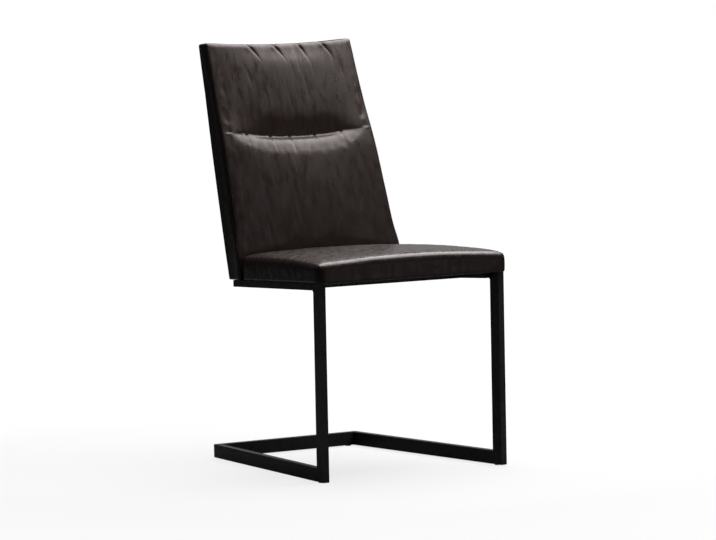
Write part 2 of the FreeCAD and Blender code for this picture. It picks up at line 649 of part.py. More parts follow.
def make_seat_fixings():
    """Bolts and washers under the rails' upper walls, spacers, and tee nuts, in heights from the underside."""
    roof = "Sizes.rail_height - Sizes.tube_wall"
    drop = roof + " - Sizes.washer_thick"
    bolt = turned_form("seat_bolt_form", [
        ("Pad", "Sizes.head_radius", drop + " - Sizes.head_height", drop),
        ("Pad", "Sizes.bolt_radius", drop, drop + " + Worked.bolt_length"),
        ("HexPocket", "Sizes.socket_radius", drop + " - Sizes.head_height",
         drop + " - Sizes.head_height + Sizes.socket_depth"),
    ])
    washer = turned_form("washer_form", [
        ("Pad", "Sizes.washer_radius", drop, roof),
        ("Pocket", "Sizes.bolt_radius + Sizes.bolt_play", drop, roof),
    ])
    spacer = turned_form("spacer_form", [
        ("Pad", "Sizes.spacer_radius", "Sizes.rail_height", "Worked.seat_foot"),
        ("Pocket", "Sizes.bolt_radius + Sizes.bolt_play", "Sizes.rail_height", "Worked.seat_foot"),
    ])
    top = "Worked.seat_foot + Sizes.leather_thick + Sizes.board_thick"
    nut = turned_form("tee_nut_form", [
        ("Pad", "Sizes.nut_radius", top + " - Sizes.nut_length", top),
        ("Pad", "Sizes.nut_flange_radius", top, top + " + Sizes.nut_flange_thick"),
        ("Pocket", "Sizes.bolt_radius + Sizes.thread_play", top + " - Sizes.nut_length",
         top + " + Sizes.nut_flange_thick"),
    ])
    for name, shape in (("seat_bolts", bolt), ("seat_washers", washer), ("seat_spacers", spacer),
                        ("seat_tee_nuts", nut)):
        group(name, shape, rail_spots(0))


def make_back_fixings():
    """Bolts through the back board and the uprights, with washers and nuts behind."""
    start = "-1 * (Worked.board_cover - Sizes.upright_cover + Sizes.back_board_thick)"
    play = "Sizes.back_bolt_radius + Sizes.bolt_play"
    end = start + " + Worked.back_bolt_length + Sizes.washer_thick"
    bolt = turned_form("back_bolt_form", [
        ("Pad", "Sizes.back_head_radius", start + " - Sizes.back_head_height", start),
        ("Pad", "Sizes.back_bolt_radius", start, end),
    ])
    washer = turned_form("back_washer_form", [
        ("Pad", "Sizes.back_head_radius", "0", "Sizes.washer_thick"),
        ("Pocket", play, "0", "Sizes.washer_thick"),
    ])
    top = "Sizes.washer_thick + Sizes.back_nut_height"
    nut = turned_form("back_nut_form", [
        ("HexPad", "Sizes.back_head_radius", "Sizes.washer_thick", top),
        ("Pocket", "Sizes.back_bolt_radius + Sizes.thread_play", "Sizes.washer_thick", top),
    ])
    for name, shape in (("back_bolts", bolt), ("back_washers", washer), ("back_nuts", nut)):
        group(name, shape, upright_spots(0))


def make_glides():
    """Plastic glides pressed into the undersides of the runners and the rear bar."""
    glide = turned_form("glide_form", [
        ("Pad", "Sizes.glide_radius", "-1 * Sizes.glide_thick", "0"),
        ("Pad", "Sizes.glide_stem", "0", "Sizes.glide_stem_length"),
    ])
    frames = []
    half = size("tube_thick") / 2
    for side in (LEFT, RIGHT):
        yaw = size("side_yaw")
        place = size("glide_place")
        x = size("front_width") / 2 - half * cos(yaw) - place * sin(yaw)
        frames.append(V(side * x, place * cos(yaw) - half * sin(yaw), 0))
        frames.append(V(side * (size("rear_width") / 2 - place), size("floor_depth") - half, 0))
    group("floor_glides", glide, [FreeCAD.Placement(base, FreeCAD.Rotation()) for base in frames])


def make_welds():
    """Fillet welds in the corners between cross tubes and rails, and under the rails' front plates."""
    leg, gap = size("weld_leg"), size("weld_gap")
    yaw = size("side_yaw")
    beads = []
    for side in (LEFT, RIGHT):
        for place in (size("front_cross_place"), size("rear_cross_place")):
            for depth, way in ((place, -1), (place + size("cross_depth"), 1)):
                world = size("deck_start") + depth * cos(size("deck_slope"))
                face = size("rail_inner") - world * tan(yaw) - gap
                along = way * leg
                corners = [V(side * face, depth, 0), V(side * (face - leg), depth, 0),
                           V(side * (face - along * tan(yaw)), depth + along, 0)]
                wire = Part.makePolygon(corners + corners[:1])
                bead = Part.Face(wire).extrude(V(0, 0, size("rail_height")))
                bead.Placement = deck_frame()
                beads.append(bead)
        low = size("rail_underside")
        corners = [V(0, size("tube_depth"), low), V(0, size("tube_depth"), low - leg),
                   V(0, size("tube_depth") + leg, low - leg * tan(size("rail_slope")))]
        bead = Part.Face(Part.makePolygon(corners + corners[:1])).extrude(V(-side * size("tube_thick"), 0, 0))
        corner = V(side * size("front_width") / 2, 0, 0)
        bead.Placement = FreeCAD.Placement(corner, FreeCAD.Rotation(UP, side * yaw))
        beads.append(bead.cut(filled(SIDE_NAMES[side] + "_seat_rail")).cut(
            filled(SIDE_NAMES[side] + "_rail_front_plate")).Solids[0])
    add("frame_welds", Part.Compound(beads))


# Seat


def draw_radius(length):
    """Radius of a side that is drawn in over its length between the corners."""
    return (length / 2 - size("seat_draw_margin")) ** 2 / (2 * size("seat_draw"))


def side_hollows(inset):
    """The round bodies that press the seat's front and sides in by seat_draw, grown by inset."""
    radius = draw_radius(size("seat_length"))
    middle = size("seat_length") / 2 - size("seat_overhang")
    hollows = {}
    for side in (LEFT, RIGHT):
        turn = FreeCAD.Placement(V(0, 0, 0), FreeCAD.Rotation(UP, 90 - 90 * side))
        frame = side_frame(side, size("seat_proud"), 0, 0).multiply(turn)
        hollows[side] = long_rod(radius + inset, (radius - size("seat_draw"), side * middle, 0), UP, frame)
    wide = draw_radius(size("front_width"))
    centre = (0, -size("seat_overhang") - wide + size("seat_draw"), 0)
    hollows["front"] = long_rod(wide + inset, centre, UP)
    return hollows


def seat_plan(inset):
    """The seat's outline in plan, moved in by inset, as a tall body."""
    body = block((None, inset - size("seat_overhang"), 0), (None, size("seat_rear") - inset, None))
    for side in (LEFT, RIGHT):
        body = body.common(inside_side(side, inset, size("seat_proud")))
    for hollow in side_hollows(inset).values():
        body = body.cut(hollow)
    return rounded(only_solid(body), size("seat_corner_radius") - inset,
                   lambda p: p.z > TOUCH and p.z < BIG - TOUCH and abs(p.x) > size("rear_width") / 4)


def seat_crown(inset):
    """Centre and radius of the ball whose top is the seat's crown."""
    radius = size("seat_crown_radius")
    return V(0, size("seat_crown_place"), size("seat_top") - radius), radius - inset


def seat_form(inset, foot_radius=0.0):
    """The seat's outer form, moved in by inset: crowned, rounded above, with drawn-in sides."""
    centre, radius = seat_crown(inset)
    deck = deck_frame()
    foot = size("seat_foot") + inset
    ball = Part.makeSphere(radius)
    ball.Placement = FreeCAD.Placement(centre, FreeCAD.Rotation(ACROSS, 90))
    body = seat_plan(inset).common(ball)
    body = only_solid(body.common(block((None, None, foot), (None, None, None), deck)))
    body = rounded(body, size("seat_edge_radius") - inset,
                   lambda p: abs((p - centre).Length - radius) < TOUCH)
    turned = deck.inverse()
    return rounded(body, foot_radius, lambda p: abs(turned.multVec(p).z - foot) < TOUCH)


def seat_pieces():
    """Board, foam, leather panels and dust cover of the seat."""
    deck = deck_frame()
    leather, play, gap = size("leather_thick"), size("board_play"), size("soft_gap")
    foot = size("seat_foot")
    under = foot + leather
    top = under + size("board_thick")
    front = -size("seat_overhang")
    hem = size("seat_hem")

    def holes(radius):
        return [rod(radius, (0, 0, 0), (0, 0, 1), top + gap, frame) for frame in rail_spots(0)]

    board = seat_form(leather + play).common(block((None, None, under), (None, None, top), deck))
    flange = [rod(size("nut_flange_radius") + gap, (0, 0, 0), (0, 0, 1), gap, frame)
              for frame in rail_spots(top)]
    board = board.cut(holes(size("nut_radius") + size("thread_play")) + flange)
    add("seat_board", only_solid(board))

    foam = seat_form(leather + gap).common(block((None, None, top), (None, None, None), deck))
    pocket = size("nut_flange_thick") + 2 * gap
    foam = foam.cut([rod(size("nut_flange_radius") + gap, (0, 0, -gap), (0, 0, 1), pocket, frame)
                     for frame in rail_spots(top)])
    add("seat_foam", only_solid(foam))

    cover = seat_form(0, size("seat_foot_radius")).cut(seat_form(leather))
    window = block((None, front + hem, None), (None, size("seat_rear") - hem, None))
    for side in (LEFT, RIGHT):
        window = window.common(inside_side(side, hem, size("seat_proud")))
    cover = cover.cut(window.common(block((None, None, 0), (None, None, under + TOUCH), deck)))
    cover = cover.cut(holes(size("bolt_radius") + size("bolt_play")))

    seam = size("panel_seam")
    hem_zone = block((None, None, 0), (None, None, under), deck)
    behind = size("seat_corner_radius") + front
    rear_zone = block((None, size("seat_rear") - seam, None), (None, None, None))
    rear_hem = block((None, size("seat_rear") - hem - leather, 0), (None, None, None))
    rear_zone = rear_zone.fuse(hem_zone.common(rear_hem))
    add("seat_cover_rear", only_solid(cover.common(rear_zone)))
    cover = cover.cut(rear_zone)
    hollows = side_hollows(seam)
    for side in (LEFT, RIGHT):
        low, high = ((None, behind, 0), (0, None, None)) if side == LEFT else ((0, behind, 0), (None,) * 3)
        half = block(low, high)
        strip = hem_zone.common(half).cut(inside_side(side, hem + leather, size("seat_proud")))
        zone = hollows[side].common(half).fuse(strip)
        add("seat_cover_%s_side" % SIDE_NAMES[side], only_solid(cover.common(zone)))
        cover = cover.cut(zone)
    add("seat_cover_top", only_solid(cover))

    margin = size("dust_margin")
    dust = block((None, front + margin, 0), (None, size("seat_rear") - margin, None))
    for side in (LEFT, RIGHT):
        dust = dust.common(inside_side(side, margin + size("rail_width"), size("seat_proud")))
    dust = dust.common(block((None, None, foot - size("dust_thick")), (None, None, foot), deck))
    add("seat_dust_cover", only_solid(dust))


# Back


def crown_rod(radius, bulge, swell):
    """The round body whose front is a panel's crown. It leans out by swell towards its top."""
    direction = (0, -sin(swell), cos(swell))
    return long_rod(radius, (0, size("back_crown_radius") - bulge, 0), direction, front_frame())


def seam_rod(grow):
    """The round body above the sewn channel's sagging curve."""
    radius = size("seam_radius")
    return long_rod(radius + grow, (0, 0, size("seam_rise") + radius), REARWARD, front_frame())


def top_rod(inset):
    """The round body that presses the back's top edge down at its middle."""
    radius = size("back_top_radius")
    return long_rod(radius + inset, (0, 0, radius - size("back_top_dip")), REARWARD, top_frame())


def rear_middle():
    """Half the height of the rear face, up its plane."""
    return (size("back_top") - size("back_foot")) / cos(size("back_rear_lean")) / 2


def back_wedge(inset):
    """The back without its front crown: sides, foot, top and bulging rear face, moved in by inset."""
    foot = size("rail_height") + size("back_rise") + inset
    radius = size("back_rear_radius")
    body = block((None, size("seat_rear") - size("tube_depth"), foot), (None, None, None), deck_frame())
    for side in (LEFT, RIGHT):
        body = body.common(inside_side(side, inset, size("back_proud"), size("back_side_lean"),
                                       size("back_level")))
    body = body.cut(top_rod(inset))
    centre = (0, size("back_rear_bulge") - radius, rear_middle())
    body = body.common(long_rod(radius - inset, centre, ACROSS, rear_frame()))
    low_front = size("seat_rear") + size("soft_gap") + inset
    body = body.cut(block((None, None, 0), (None, low_front, size("back_level") - size("seat_edge_radius"))))
    return only_solid(body)


def on_side(inset):
    """A test for points on either side plane of the back."""
    frames = {side: side_frame(side, size("back_proud"), size("back_side_lean"), size("back_level")).inverse()
              for side in (LEFT, RIGHT)}
    return lambda p: any(abs(frame.multVec(p).x * -side - inset) < TOUCH for side, frame in frames.items())


def on_crown(inset, bulge, swell):
    """A test for points on a panel's crown."""
    frame = front_frame().inverse()
    base = V(0, size("back_crown_radius") - bulge, 0)
    axis = V(0, -sin(swell), cos(swell))
    radius = size("back_crown_radius") - inset

    def test(point):
        off = frame.multVec(point) - base
        return abs((off - axis * off.dot(axis)).Length - radius) < TOUCH

    return test


def on_top(inset):
    """A test for points on the back's dipping top."""
    frame = top_frame().inverse()
    radius = size("back_top_radius")

    def test(point):
        local = frame.multVec(point)
        return abs(math.hypot(local.x, local.z - radius + size("back_top_dip")) - radius - inset) < TOUCH

    return test


def on_rear(inset):
    """A test for points on the back's bulging rear face."""
    frame = rear_frame().inverse()
    radius = size("back_rear_radius")

    def test(point):
        local = frame.multVec(point)
        reach = math.hypot(local.y - size("back_rear_bulge") + radius, local.z - rear_middle())
        return abs(reach - radius + inset) < TOUCH

    return test


def on_seam(grow):
    """A test for points on the sewn channel's curved wall."""
    frame = front_frame().inverse()
    radius = size("seam_radius")

    def test(point):
        local = frame.multVec(point)
        return abs(math.hypot(local.x, local.z - size("seam_rise") - radius) - radius - grow) < TOUCH

    return test


def front_panel(inset, lower):
    """The back's lower or upper front panel down to the depth of the channel, moved in by inset."""
    bulge = size("lower_bulge") if lower else size("upper_bulge")
    swell = size("lower_swell") if lower else -size("upper_taper")
    radius = size("back_edge_radius") - inset
    body = back_wedge(inset).common(crown_rod(size("back_crown_radius") - inset, bulge, swell))
    body = body.common(block((None, None, None), (None, size("channel_depth"), None), front_frame()))
    grow = inset if lower else -inset
    body = only_solid(body.cut(seam_rod(grow)) if lower else body.common(seam_rod(grow)))
    side, crown, seam, top = on_side(inset), on_crown(inset, bulge, swell), on_seam(grow), on_top(inset)
    if lower:
        return rounded(body, radius, lambda p: crown(p) and (side(p) or seam(p)))
    return rounded(body, radius,
                   lambda p: (crown(p) and (side(p) or seam(p) or top(p))) or (top(p) and side(p)))


def rear_body(inset):
    """The back behind the depth of the channel, moved in by inset."""
    body = back_wedge(inset)
    behind = block((None, size("channel_depth"), None), (None, None, None), front_frame())
    body = only_solid(body.common(behind))
    side, rear, top = on_side(inset), on_rear(inset), on_top(inset)
    return rounded(body, size("back_edge_radius") - inset,
                   lambda p: (side(p) and (rear(p) or top(p))) or (rear(p) and top(p)))


def channel_wire(grow):
    """The bent wire behind the sewn channel, thicker all round and longer by grow."""
    bend = size("seam_radius")
    depth = size("channel_depth") + size("wire_radius")
    angle = math.degrees(math.asin((size("wire_reach") + grow) / bend))
    middle = V(0, depth, size("seam_rise") + bend)
    start = middle - V(sin(angle), 0, cos(angle)) * bend
    ring = Part.makeCircle(size("wire_radius") + grow, start, V(cos(angle), 0, -sin(angle)))
    wire = Part.Face(Part.Wire(ring)).revolve(middle, REARWARD, -2 * angle)
    wire.Placement = front_frame()
    return wire


def back_pieces():
    """Board, foams, leather panels and wire of the back."""
    leather, gap, seam = size("leather_thick"), size("soft_gap"), size("panel_seam")
    seat_space = {inset: seat_form(-gap - inset) for inset in (0, leather, leather + gap)}
    uprights = [filled(SIDE_NAMES[side] + "_back_upright") for side in (LEFT, RIGHT)]
    tubes = uprights + [filled(name + "_back_cross_tube") for name in ("lower", "upper")]
    rear = rear_frame()

    def three(inset):
        """Lower panel, upper panel and rear body, moved in by inset and clear of the seat."""
        forms = (front_panel(inset, True), front_panel(inset, False), rear_body(inset))
        return [only_solid(form.cut(seat_space[inset])) for form in forms]

    outer = three(0)
    inner = three(leather)
    lower, upper, rest = [out.cut(within) for out, within in zip(outer, inner)]
    side_covers = {}
    for side in (LEFT, RIGHT):
        zone = inside_side(side, seam, size("back_proud"), size("back_side_lean"), size("back_level"))
        strips = [shell.cut(zone) for shell in (lower, upper, rest)]
        half = block((None,) * 3, (0, None, None)) if side == LEFT else block((0, None, None), (None,) * 3)
        strips = [strip.common(half) for strip in strips]
        side_covers[side] = only_solid(strips[2].fuse(strips[:2]).removeSplitter())
        lower, upper, rest = [shell.cut(strip) for shell, strip in zip((lower, upper, rest), strips)]
    radius = size("back_rear_radius")
    centre = (0, size("back_rear_bulge") - radius, rear_middle())
    core = long_rod(radius - size("back_edge_radius"), centre, ACROSS, rear)
    rear_cover = only_solid(rest.cut(core))
    wraps = sorted(rest.common(core).Solids, key=lambda solid: solid.CenterOfMass.z)
    lower = only_solid(lower.fuse(wraps[0]).removeSplitter())
    upper = only_solid(upper.fuse(wraps[-1]).removeSplitter())
    covers = [("back_cover_lower_front", lower), ("back_cover_upper_front", upper), ("back_cover_rear", rear_cover),
              ("back_cover_left_side", side_covers[LEFT]), ("back_cover_right_side", side_covers[RIGHT])]
    for name, shape in covers:
        add(name, only_solid(shape.cut(uprights)))

    low_form, high_form, rear_form = three(leather + gap)
    board_top = (size("back_top") - size("back_foot")) / cos(size("back_rear_lean")) - size("back_board_drop")
    near = -size("board_cover")
    far = near - size("back_board_thick")
    board_zone = block((None, far, None), (None, near, board_top), rear)
    board = only_solid(rear_form.common(board_zone))
    shanks = [long_rod(size("back_bolt_radius") + size("bolt_play"), (0, 0, 0), (0, 0, 1), frame)
              for frame in upright_spots(0)]
    start = far + size("upright_cover")
    seats = [rod(size("back_head_radius") + gap, (0, 0, 0), (0, 0, -1), size("back_head_height") + gap, frame)
             for frame in upright_spots(start)]
    add("back_board", only_solid(board.cut(shanks + seats)))
    rear_zone = block((None, near, None), (None, None, None), rear)
    add("seam_wire", channel_wire(0))
    foams = {"back_lower_foam": low_form.fuse(rear_form.cut(seam_rod(0))),
             "back_upper_foam": high_form.fuse(rear_form.common(seam_rod(0)))}
    for name, foam in foams.items():
        foam = foam.cut([rear_zone, board_zone, channel_wire(gap)] + seats)
        add(name, only_solid(foam))
    nuts = [rod(size("back_head_radius") + gap, (0, 0, 0), (0, 0, 1), BIG, frame)
            for frame in upright_spots(0)]
    add("back_rear_foam", only_solid(rear_form.common(rear_zone).cut(tubes + nuts + shanks)))


def make_frame():
    for side in (LEFT, RIGHT):
        make_leg(side)
        make_runner(side)
        make_rail(side)
        make_rail_plate(side)
        make_caps(side)
        make_upright(side)
    make_rear_bar()
    make_seat_cross_tubes()
    make_back_cross_tubes()


def check():
    """Stops the build where an object failed or a piece is empty or broken."""
    for item in doc.Objects:
        if "Invalid" in item.State or "Error" in item.State:
            raise RuntimeError("failed object: " + item.Name)
    for name, node in nodes.items():
        if node.Shape.isNull() or not node.Shape.isValid() or not node.Shape.Solids:
            raise RuntimeError("broken piece: " + name)


def export():
    os.makedirs("parts", exist_ok=True)
    for name, node in nodes.items():
        node.Shape.exportStep(os.path.join("parts", name + ".step"))
    print("%d pieces" % len(nodes))


make_frame()
doc.recompute()
make_glides()
make_welds()
make_seat_fixings()
make_back_fixings()
seat_pieces()
back_pieces()
doc.recompute()
check()
export()
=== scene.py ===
"""Dressed model of a cantilever dining chair: dark powder-coated steel frame, brown leather seat and back.

The frame, caps, glides and fixings are the CAD pieces with procedural finishes. The seat and the back are
modelled here as padded cushions with their seams, tucks, pleats and stitches. Lengths in the classes are
millimetres, counted as on the drawing: across from the middle, in depth from the front of the legs, and in
height from the underside of the runners.
"""

import json
import logging
import math
import random
from dataclasses import dataclass, field
from enum import Enum
from typing import Callable, Iterable, Optional, Sequence

import bpy
import numpy as np
from mathutils import Matrix, Vector, noise
from mathutils.bvhtree import BVHTree


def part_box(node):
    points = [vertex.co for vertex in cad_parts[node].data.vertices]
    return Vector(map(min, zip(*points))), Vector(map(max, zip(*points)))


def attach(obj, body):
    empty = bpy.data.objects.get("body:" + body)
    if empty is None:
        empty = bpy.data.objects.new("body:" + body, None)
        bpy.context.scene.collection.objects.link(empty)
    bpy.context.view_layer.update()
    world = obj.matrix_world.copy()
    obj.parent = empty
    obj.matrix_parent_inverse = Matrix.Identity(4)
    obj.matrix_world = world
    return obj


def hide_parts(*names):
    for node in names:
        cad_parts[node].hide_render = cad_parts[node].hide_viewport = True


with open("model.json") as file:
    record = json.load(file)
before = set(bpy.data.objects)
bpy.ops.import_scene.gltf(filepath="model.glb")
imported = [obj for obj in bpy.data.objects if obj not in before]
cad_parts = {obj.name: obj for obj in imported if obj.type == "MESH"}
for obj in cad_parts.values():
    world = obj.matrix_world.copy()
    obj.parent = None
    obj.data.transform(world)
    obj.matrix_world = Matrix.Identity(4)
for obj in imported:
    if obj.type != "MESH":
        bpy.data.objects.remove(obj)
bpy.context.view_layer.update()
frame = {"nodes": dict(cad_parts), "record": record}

LOG = logging.getLogger("chair")
MM = 0.001
Colour = tuple[float, float, float]
Mapping3D = Callable[[np.ndarray, np.ndarray, np.ndarray], np.ndarray]


class Slot(Enum):
    """Material slots of the part's record."""

    FRAME = "frame_steel"
    HIDDEN = "hidden_steel"
    CAP = "cap_plastic"
    LEATHER = "leather_brown"
    PLYWOOD = "plywood"
    LINING = "lining_cloth"
    ZINC = "zinc_steel"
    FOAM = "foam"


class Side(Enum):
    """The two sides of the chair, by the sign of their X."""

    LEFT = -1
    RIGHT = 1


def smooth_step(value: np.ndarray, low: float, high: float) -> np.ndarray:
    """Smooth rise from 0 at low to 1 at high.

    Args:
        value: Where to read the curve.
        low: Start of the rise.
        high: End of the rise.

    Returns:
        Numbers from 0 to 1.
    """
    share = np.clip((np.asarray(value, float) - low) / (high - low), 0.0, 1.0)
    return share * share * (3.0 - 2.0 * share)


def bell(value: np.ndarray, width: float) -> np.ndarray:
    """A bump of height 1 at zero that dies out beyond its width.

    Args:
        value: Distance from the middle of the bump.
        width: Distance at which it has fallen to about a third.

    Returns:
        Numbers from 0 to 1.
    """
    return np.exp(-np.square(np.asarray(value, float) / width))


@dataclass(frozen=True)
class ChairSizes:
    """Sizes of the chair that its soft pieces share, in millimetres and degrees."""

    front_width: float = 480.0
    rear_width: float = 380.0
    floor_depth: float = 550.0
    rail_underside: float = 415.0
    rail_slope: float = 2.5
    rail_height: float = 15.0
    tube_depth: float = 30.0
    seat_front: float = -9.0
    seat_rear: float = 377.0
    seat_top: float = 487.2
    crown_place: float = 130.0
    crown_radius: float = 3000.0

    @property
    def taper(self) -> float:
        """Tangent of the angle by which each side runs inwards to the rear."""
        return (self.front_width - self.rear_width) / 2.0 / self.floor_depth

    def deck(self, depth: np.ndarray, rise: float) -> np.ndarray:
        """Height of a plane above the rails.

        Args:
            depth: Distance behind the front of the legs.
            rise: Height over the rails' underside, square to them.

        Returns:
            Height over the floor runners' underside.
        """
        slope = math.tan(math.radians(self.rail_slope))
        return self.rail_underside + rise - (depth - self.tube_depth) * slope

    def crown(self, across: np.ndarray, depth: np.ndarray) -> np.ndarray:
        """Height of the seat's crowned top.

        Args:
            across: Distance from the middle.
            depth: Distance behind the front of the legs.

        Returns:
            Height over the floor runners' underside.
        """
        fall = np.square(across) + np.square(depth - self.crown_place)
        return self.seat_top - self.crown_radius + np.sqrt(self.crown_radius**2 - fall)


@dataclass(frozen=True)
class Datum:
    """Carries drawing places in millimetres into the part's frame in metres."""

    shift: float
    lift: float

    @classmethod
    def from_frame(cls, sizes: ChairSizes) -> "Datum":
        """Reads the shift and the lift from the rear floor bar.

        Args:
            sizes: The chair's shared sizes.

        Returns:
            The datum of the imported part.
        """
        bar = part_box("rear_floor_bar")
        return cls(bar[1][1] / MM - sizes.floor_depth, bar[0][2] / MM)

    def place(self, across: np.ndarray, depth: np.ndarray, height: np.ndarray) -> np.ndarray:
        """Points in metres.

        Args:
            across: Distances from the middle.
            depth: Distances behind the front of the legs.
            height: Heights over the floor runners' underside.

        Returns:
            One row of three numbers for each point.
        """
        parts = np.broadcast_arrays(across, np.asarray(depth) + self.shift, np.asarray(height) + self.lift)
        return np.stack([np.asarray(part, float) for part in parts], axis=-1) * MM

    def back_to_drawing(self, points: np.ndarray) -> tuple[np.ndarray, np.ndarray, np.ndarray]:
        """Drawing coordinates of points in metres.

        Args:
            points: One row for each point.

        Returns:
            Across, depth and height in millimetres.
        """
        return points[:, 0] / MM, points[:, 1] / MM - self.shift, points[:, 2] / MM - self.lift


def mesh_points(mesh: bpy.types.Mesh) -> np.ndarray:
    """Vertex places of a mesh as rows."""
    flat = np.empty(len(mesh.vertices) * 3)
    mesh.vertices.foreach_get("co", flat)
    return flat.reshape(-1, 3)


def mesh_normals(mesh: bpy.types.Mesh) -> np.ndarray:
    """Vertex normals of a mesh as rows."""
    flat = np.empty(len(mesh.vertices) * 3)
    mesh.vertices.foreach_get("normal", flat)
    return flat.reshape(-1, 3)


def move_points(mesh: bpy.types.Mesh, points: np.ndarray) -> None:
    """Writes vertex places back.

    Args:
        mesh: The mesh to change.
        points: One row for each vertex.
    """
    mesh.vertices.foreach_set("co", points.reshape(-1))
    mesh.update()


def new_object(name: str, points: Sequence, faces: Sequence) -> bpy.types.Object:
    """A smooth-shaded mesh object in the scene.

    Args:
        name: Name of the piece.
        points: Vertex places in metres.
        faces: Vertex numbers of each face.

    Returns:
        The object.
    """
    mesh = bpy.data.meshes.new(name)
    places = [tuple(map(float, point)) for point in points]
    mesh.from_pydata(places, [], [tuple(map(int, face)) for face in faces])
    mesh.update()
    mesh.polygons.foreach_set("use_smooth", [True] * len(mesh.polygons))
    made = bpy.data.objects.new(name, mesh)
    bpy.context.scene.collection.objects.link(made)
    return made


def subdivided(piece: bpy.types.Object, levels: int) -> None:
    """Applies smooth subdivision to a piece.

    Args:
        piece: The mesh object to refine.
        levels: How many times each face is split.
    """
    modifier = piece.modifiers.new("refine", "SUBSURF")
    modifier.levels = levels
    modifier.render_levels = levels
    settled(piece)


def settled(piece: bpy.types.Object) -> None:
    """Writes the result of a piece's modifiers into its mesh and removes them."""
    graph = bpy.context.evaluated_depsgraph_get()
    graph.update()
    result = bpy.data.meshes.new_from_object(piece.evaluated_get(graph))
    piece.modifiers.clear()
    old = piece.data
    piece.data = result
    result.name = piece.name
    bpy.data.meshes.remove(old)
    result.polygons.foreach_set("use_smooth", [True] * len(result.polygons))


def noise_field(points: np.ndarray, scale: Sequence[float], seed: float, octaves: int = 2) -> np.ndarray:
    """Soft noise at points, stretched along the axes.

    Args:
        points: Rows in millimetres.
        scale: Wave length along each axis, in millimetres.
        seed: Offset that picks another stretch of the same noise.
        octaves: How many finer layers are added.

    Returns:
        One number from about -1 to 1 for each point.
    """
    rows = points / np.asarray(scale, float) + seed
    total = np.zeros(len(rows))
    weight = 1.0
    for _ in range(octaves):
        total += weight * np.array([noise.noise(Vector(row)) for row in rows])
        rows = rows * 2.03 + 7.1
        weight *= 0.5
    return total


@dataclass
class GridBlock:
    """A closed block of quads between three lists of stations, bent by a mapping."""

    across: np.ndarray
    along: np.ndarray
    through: np.ndarray

    def build(self, name: str, mapping: Mapping3D) -> bpy.types.Object:
        """Makes the skin of the block.

        Args:
            name: Name of the piece.
            mapping: Gives points in metres for arrays of the three stations.

        Returns:
            The mesh object, with one vertex at each station on the skin.
        """
        ends = (len(self.across) - 1, len(self.along) - 1, len(self.through) - 1)
        numbers: dict[tuple[int, int, int], int] = {}

        def number(key: tuple[int, int, int]) -> int:
            """The vertex at a grid place, made when first asked for."""
            return numbers.setdefault(key, len(numbers))

        faces = []
        for axis in range(3):
            first, second = [other for other in range(3) if other != axis]
            for end in (0, ends[axis]):
                for i in range(ends[first]):
                    for j in range(ends[second]):
                        ring = []
                        for step_i, step_j in ((0, 0), (1, 0), (1, 1), (0, 1)):
                            key = [0, 0, 0]
                            key[axis], key[first], key[second] = end, i + step_i, j + step_j
                            ring.append(number((key[0], key[1], key[2])))
                        outward = (end > 0) == (axis != 1)
                        faces.append(ring if outward else ring[::-1])
        keys = np.array(list(numbers))
        points = mapping(self.across[keys[:, 0]], self.along[keys[:, 1]], self.through[keys[:, 2]])
        corners = points[np.array(faces)]
        spans = np.cross(corners[:, 2] - corners[:, 0], corners[:, 3] - corners[:, 1])
        if np.einsum("ij,ij->", corners.mean(axis=1) - points.mean(axis=0), spans) < 0:
            faces = [ring[::-1] for ring in faces]
        return new_object(name, points, faces)


def stations(marks: Sequence[float], step: float) -> np.ndarray:
    """Fills the gaps between marks with even steps.

    Args:
        marks: Places that have to be met, in order.
        step: Longest step.

    Returns:
        All places in order.
    """
    found = [marks[0]]
    for low, high in zip(marks, marks[1:]):
        count = max(1, math.ceil((high - low) / step - 1e-6))
        found += [low + (high - low) * (i + 1) / count for i in range(count)]
    return np.array(found)


def framed(low: float, high: float, support: float, step: float) -> np.ndarray:
    """Stations with one support at a distance from each end, and even steps between the supports.

    Args:
        low: First station.
        high: Last station.
        support: Distance of the supports from the ends, which sets how round the ends' edges become.
        step: Longest step between the supports.

    Returns:
        All places in order.
    """
    return np.concatenate([[low], stations([low + support, high - support], step), [high]])


@dataclass(frozen=True)
class Stuffing:
    """Cloth simulation that lets a leather cover swell over its foam."""

    limit: float
    pressure: float = 4.0
    slack: float = 0.004
    frames: int = 20
    tension: float = 18.0
    bending: float = 8.0

    def swell(self, piece: bpy.types.Object, held: np.ndarray) -> None:
        """Runs the simulation and keeps its result, within the limit.

        Args:
            piece: The closed cover.
            held: From 0 for free leather to 1 for leather that is sewn or glued down, for each vertex.
        """
        group = piece.vertex_groups.new(name="held")
        for share in np.unique(np.round(held, 1)):
            if share > 0:
                chosen = np.flatnonzero(np.round(held, 1) == share)
                group.add([int(i) for i in chosen], float(share), "REPLACE")
        rest = mesh_points(piece.data)
        modifier = piece.modifiers.new("stuffing", "CLOTH")
        settings = modifier.settings
        settings.quality = 5
        settings.mass = 0.3
        settings.use_pressure = True
        settings.uniform_pressure_force = self.pressure
        settings.tension_stiffness = self.tension
        settings.compression_stiffness = self.tension
        settings.shear_stiffness = self.tension / 2
        settings.bending_stiffness = self.bending
        settings.shrink_min = -self.slack
        settings.vertex_group_mass = "held"
        settings.effector_weights.gravity = 0.0
        modifier.collision_settings.use_collision = False
        modifier.point_cache.frame_start = 1
        modifier.point_cache.frame_end = self.frames
        scene = bpy.context.scene
        for number in range(1, self.frames + 1):
            scene.frame_set(number)
        graph = bpy.context.evaluated_depsgraph_get()
        result = mesh_points(piece.evaluated_get(graph).data)
        piece.modifiers.clear()
        piece.vertex_groups.clear()
        scene.frame_set(1)
        step = result - rest
        length = np.linalg.norm(step, axis=1, keepdims=True)
        limit = self.limit * MM
        share = np.where(length > limit, limit / np.maximum(length, 1e-9), 1.0)
        move_points(piece.data, rest + step * share)
        LOG.info("%s swelled by up to %.1f mm", piece.name, length.max() / MM)


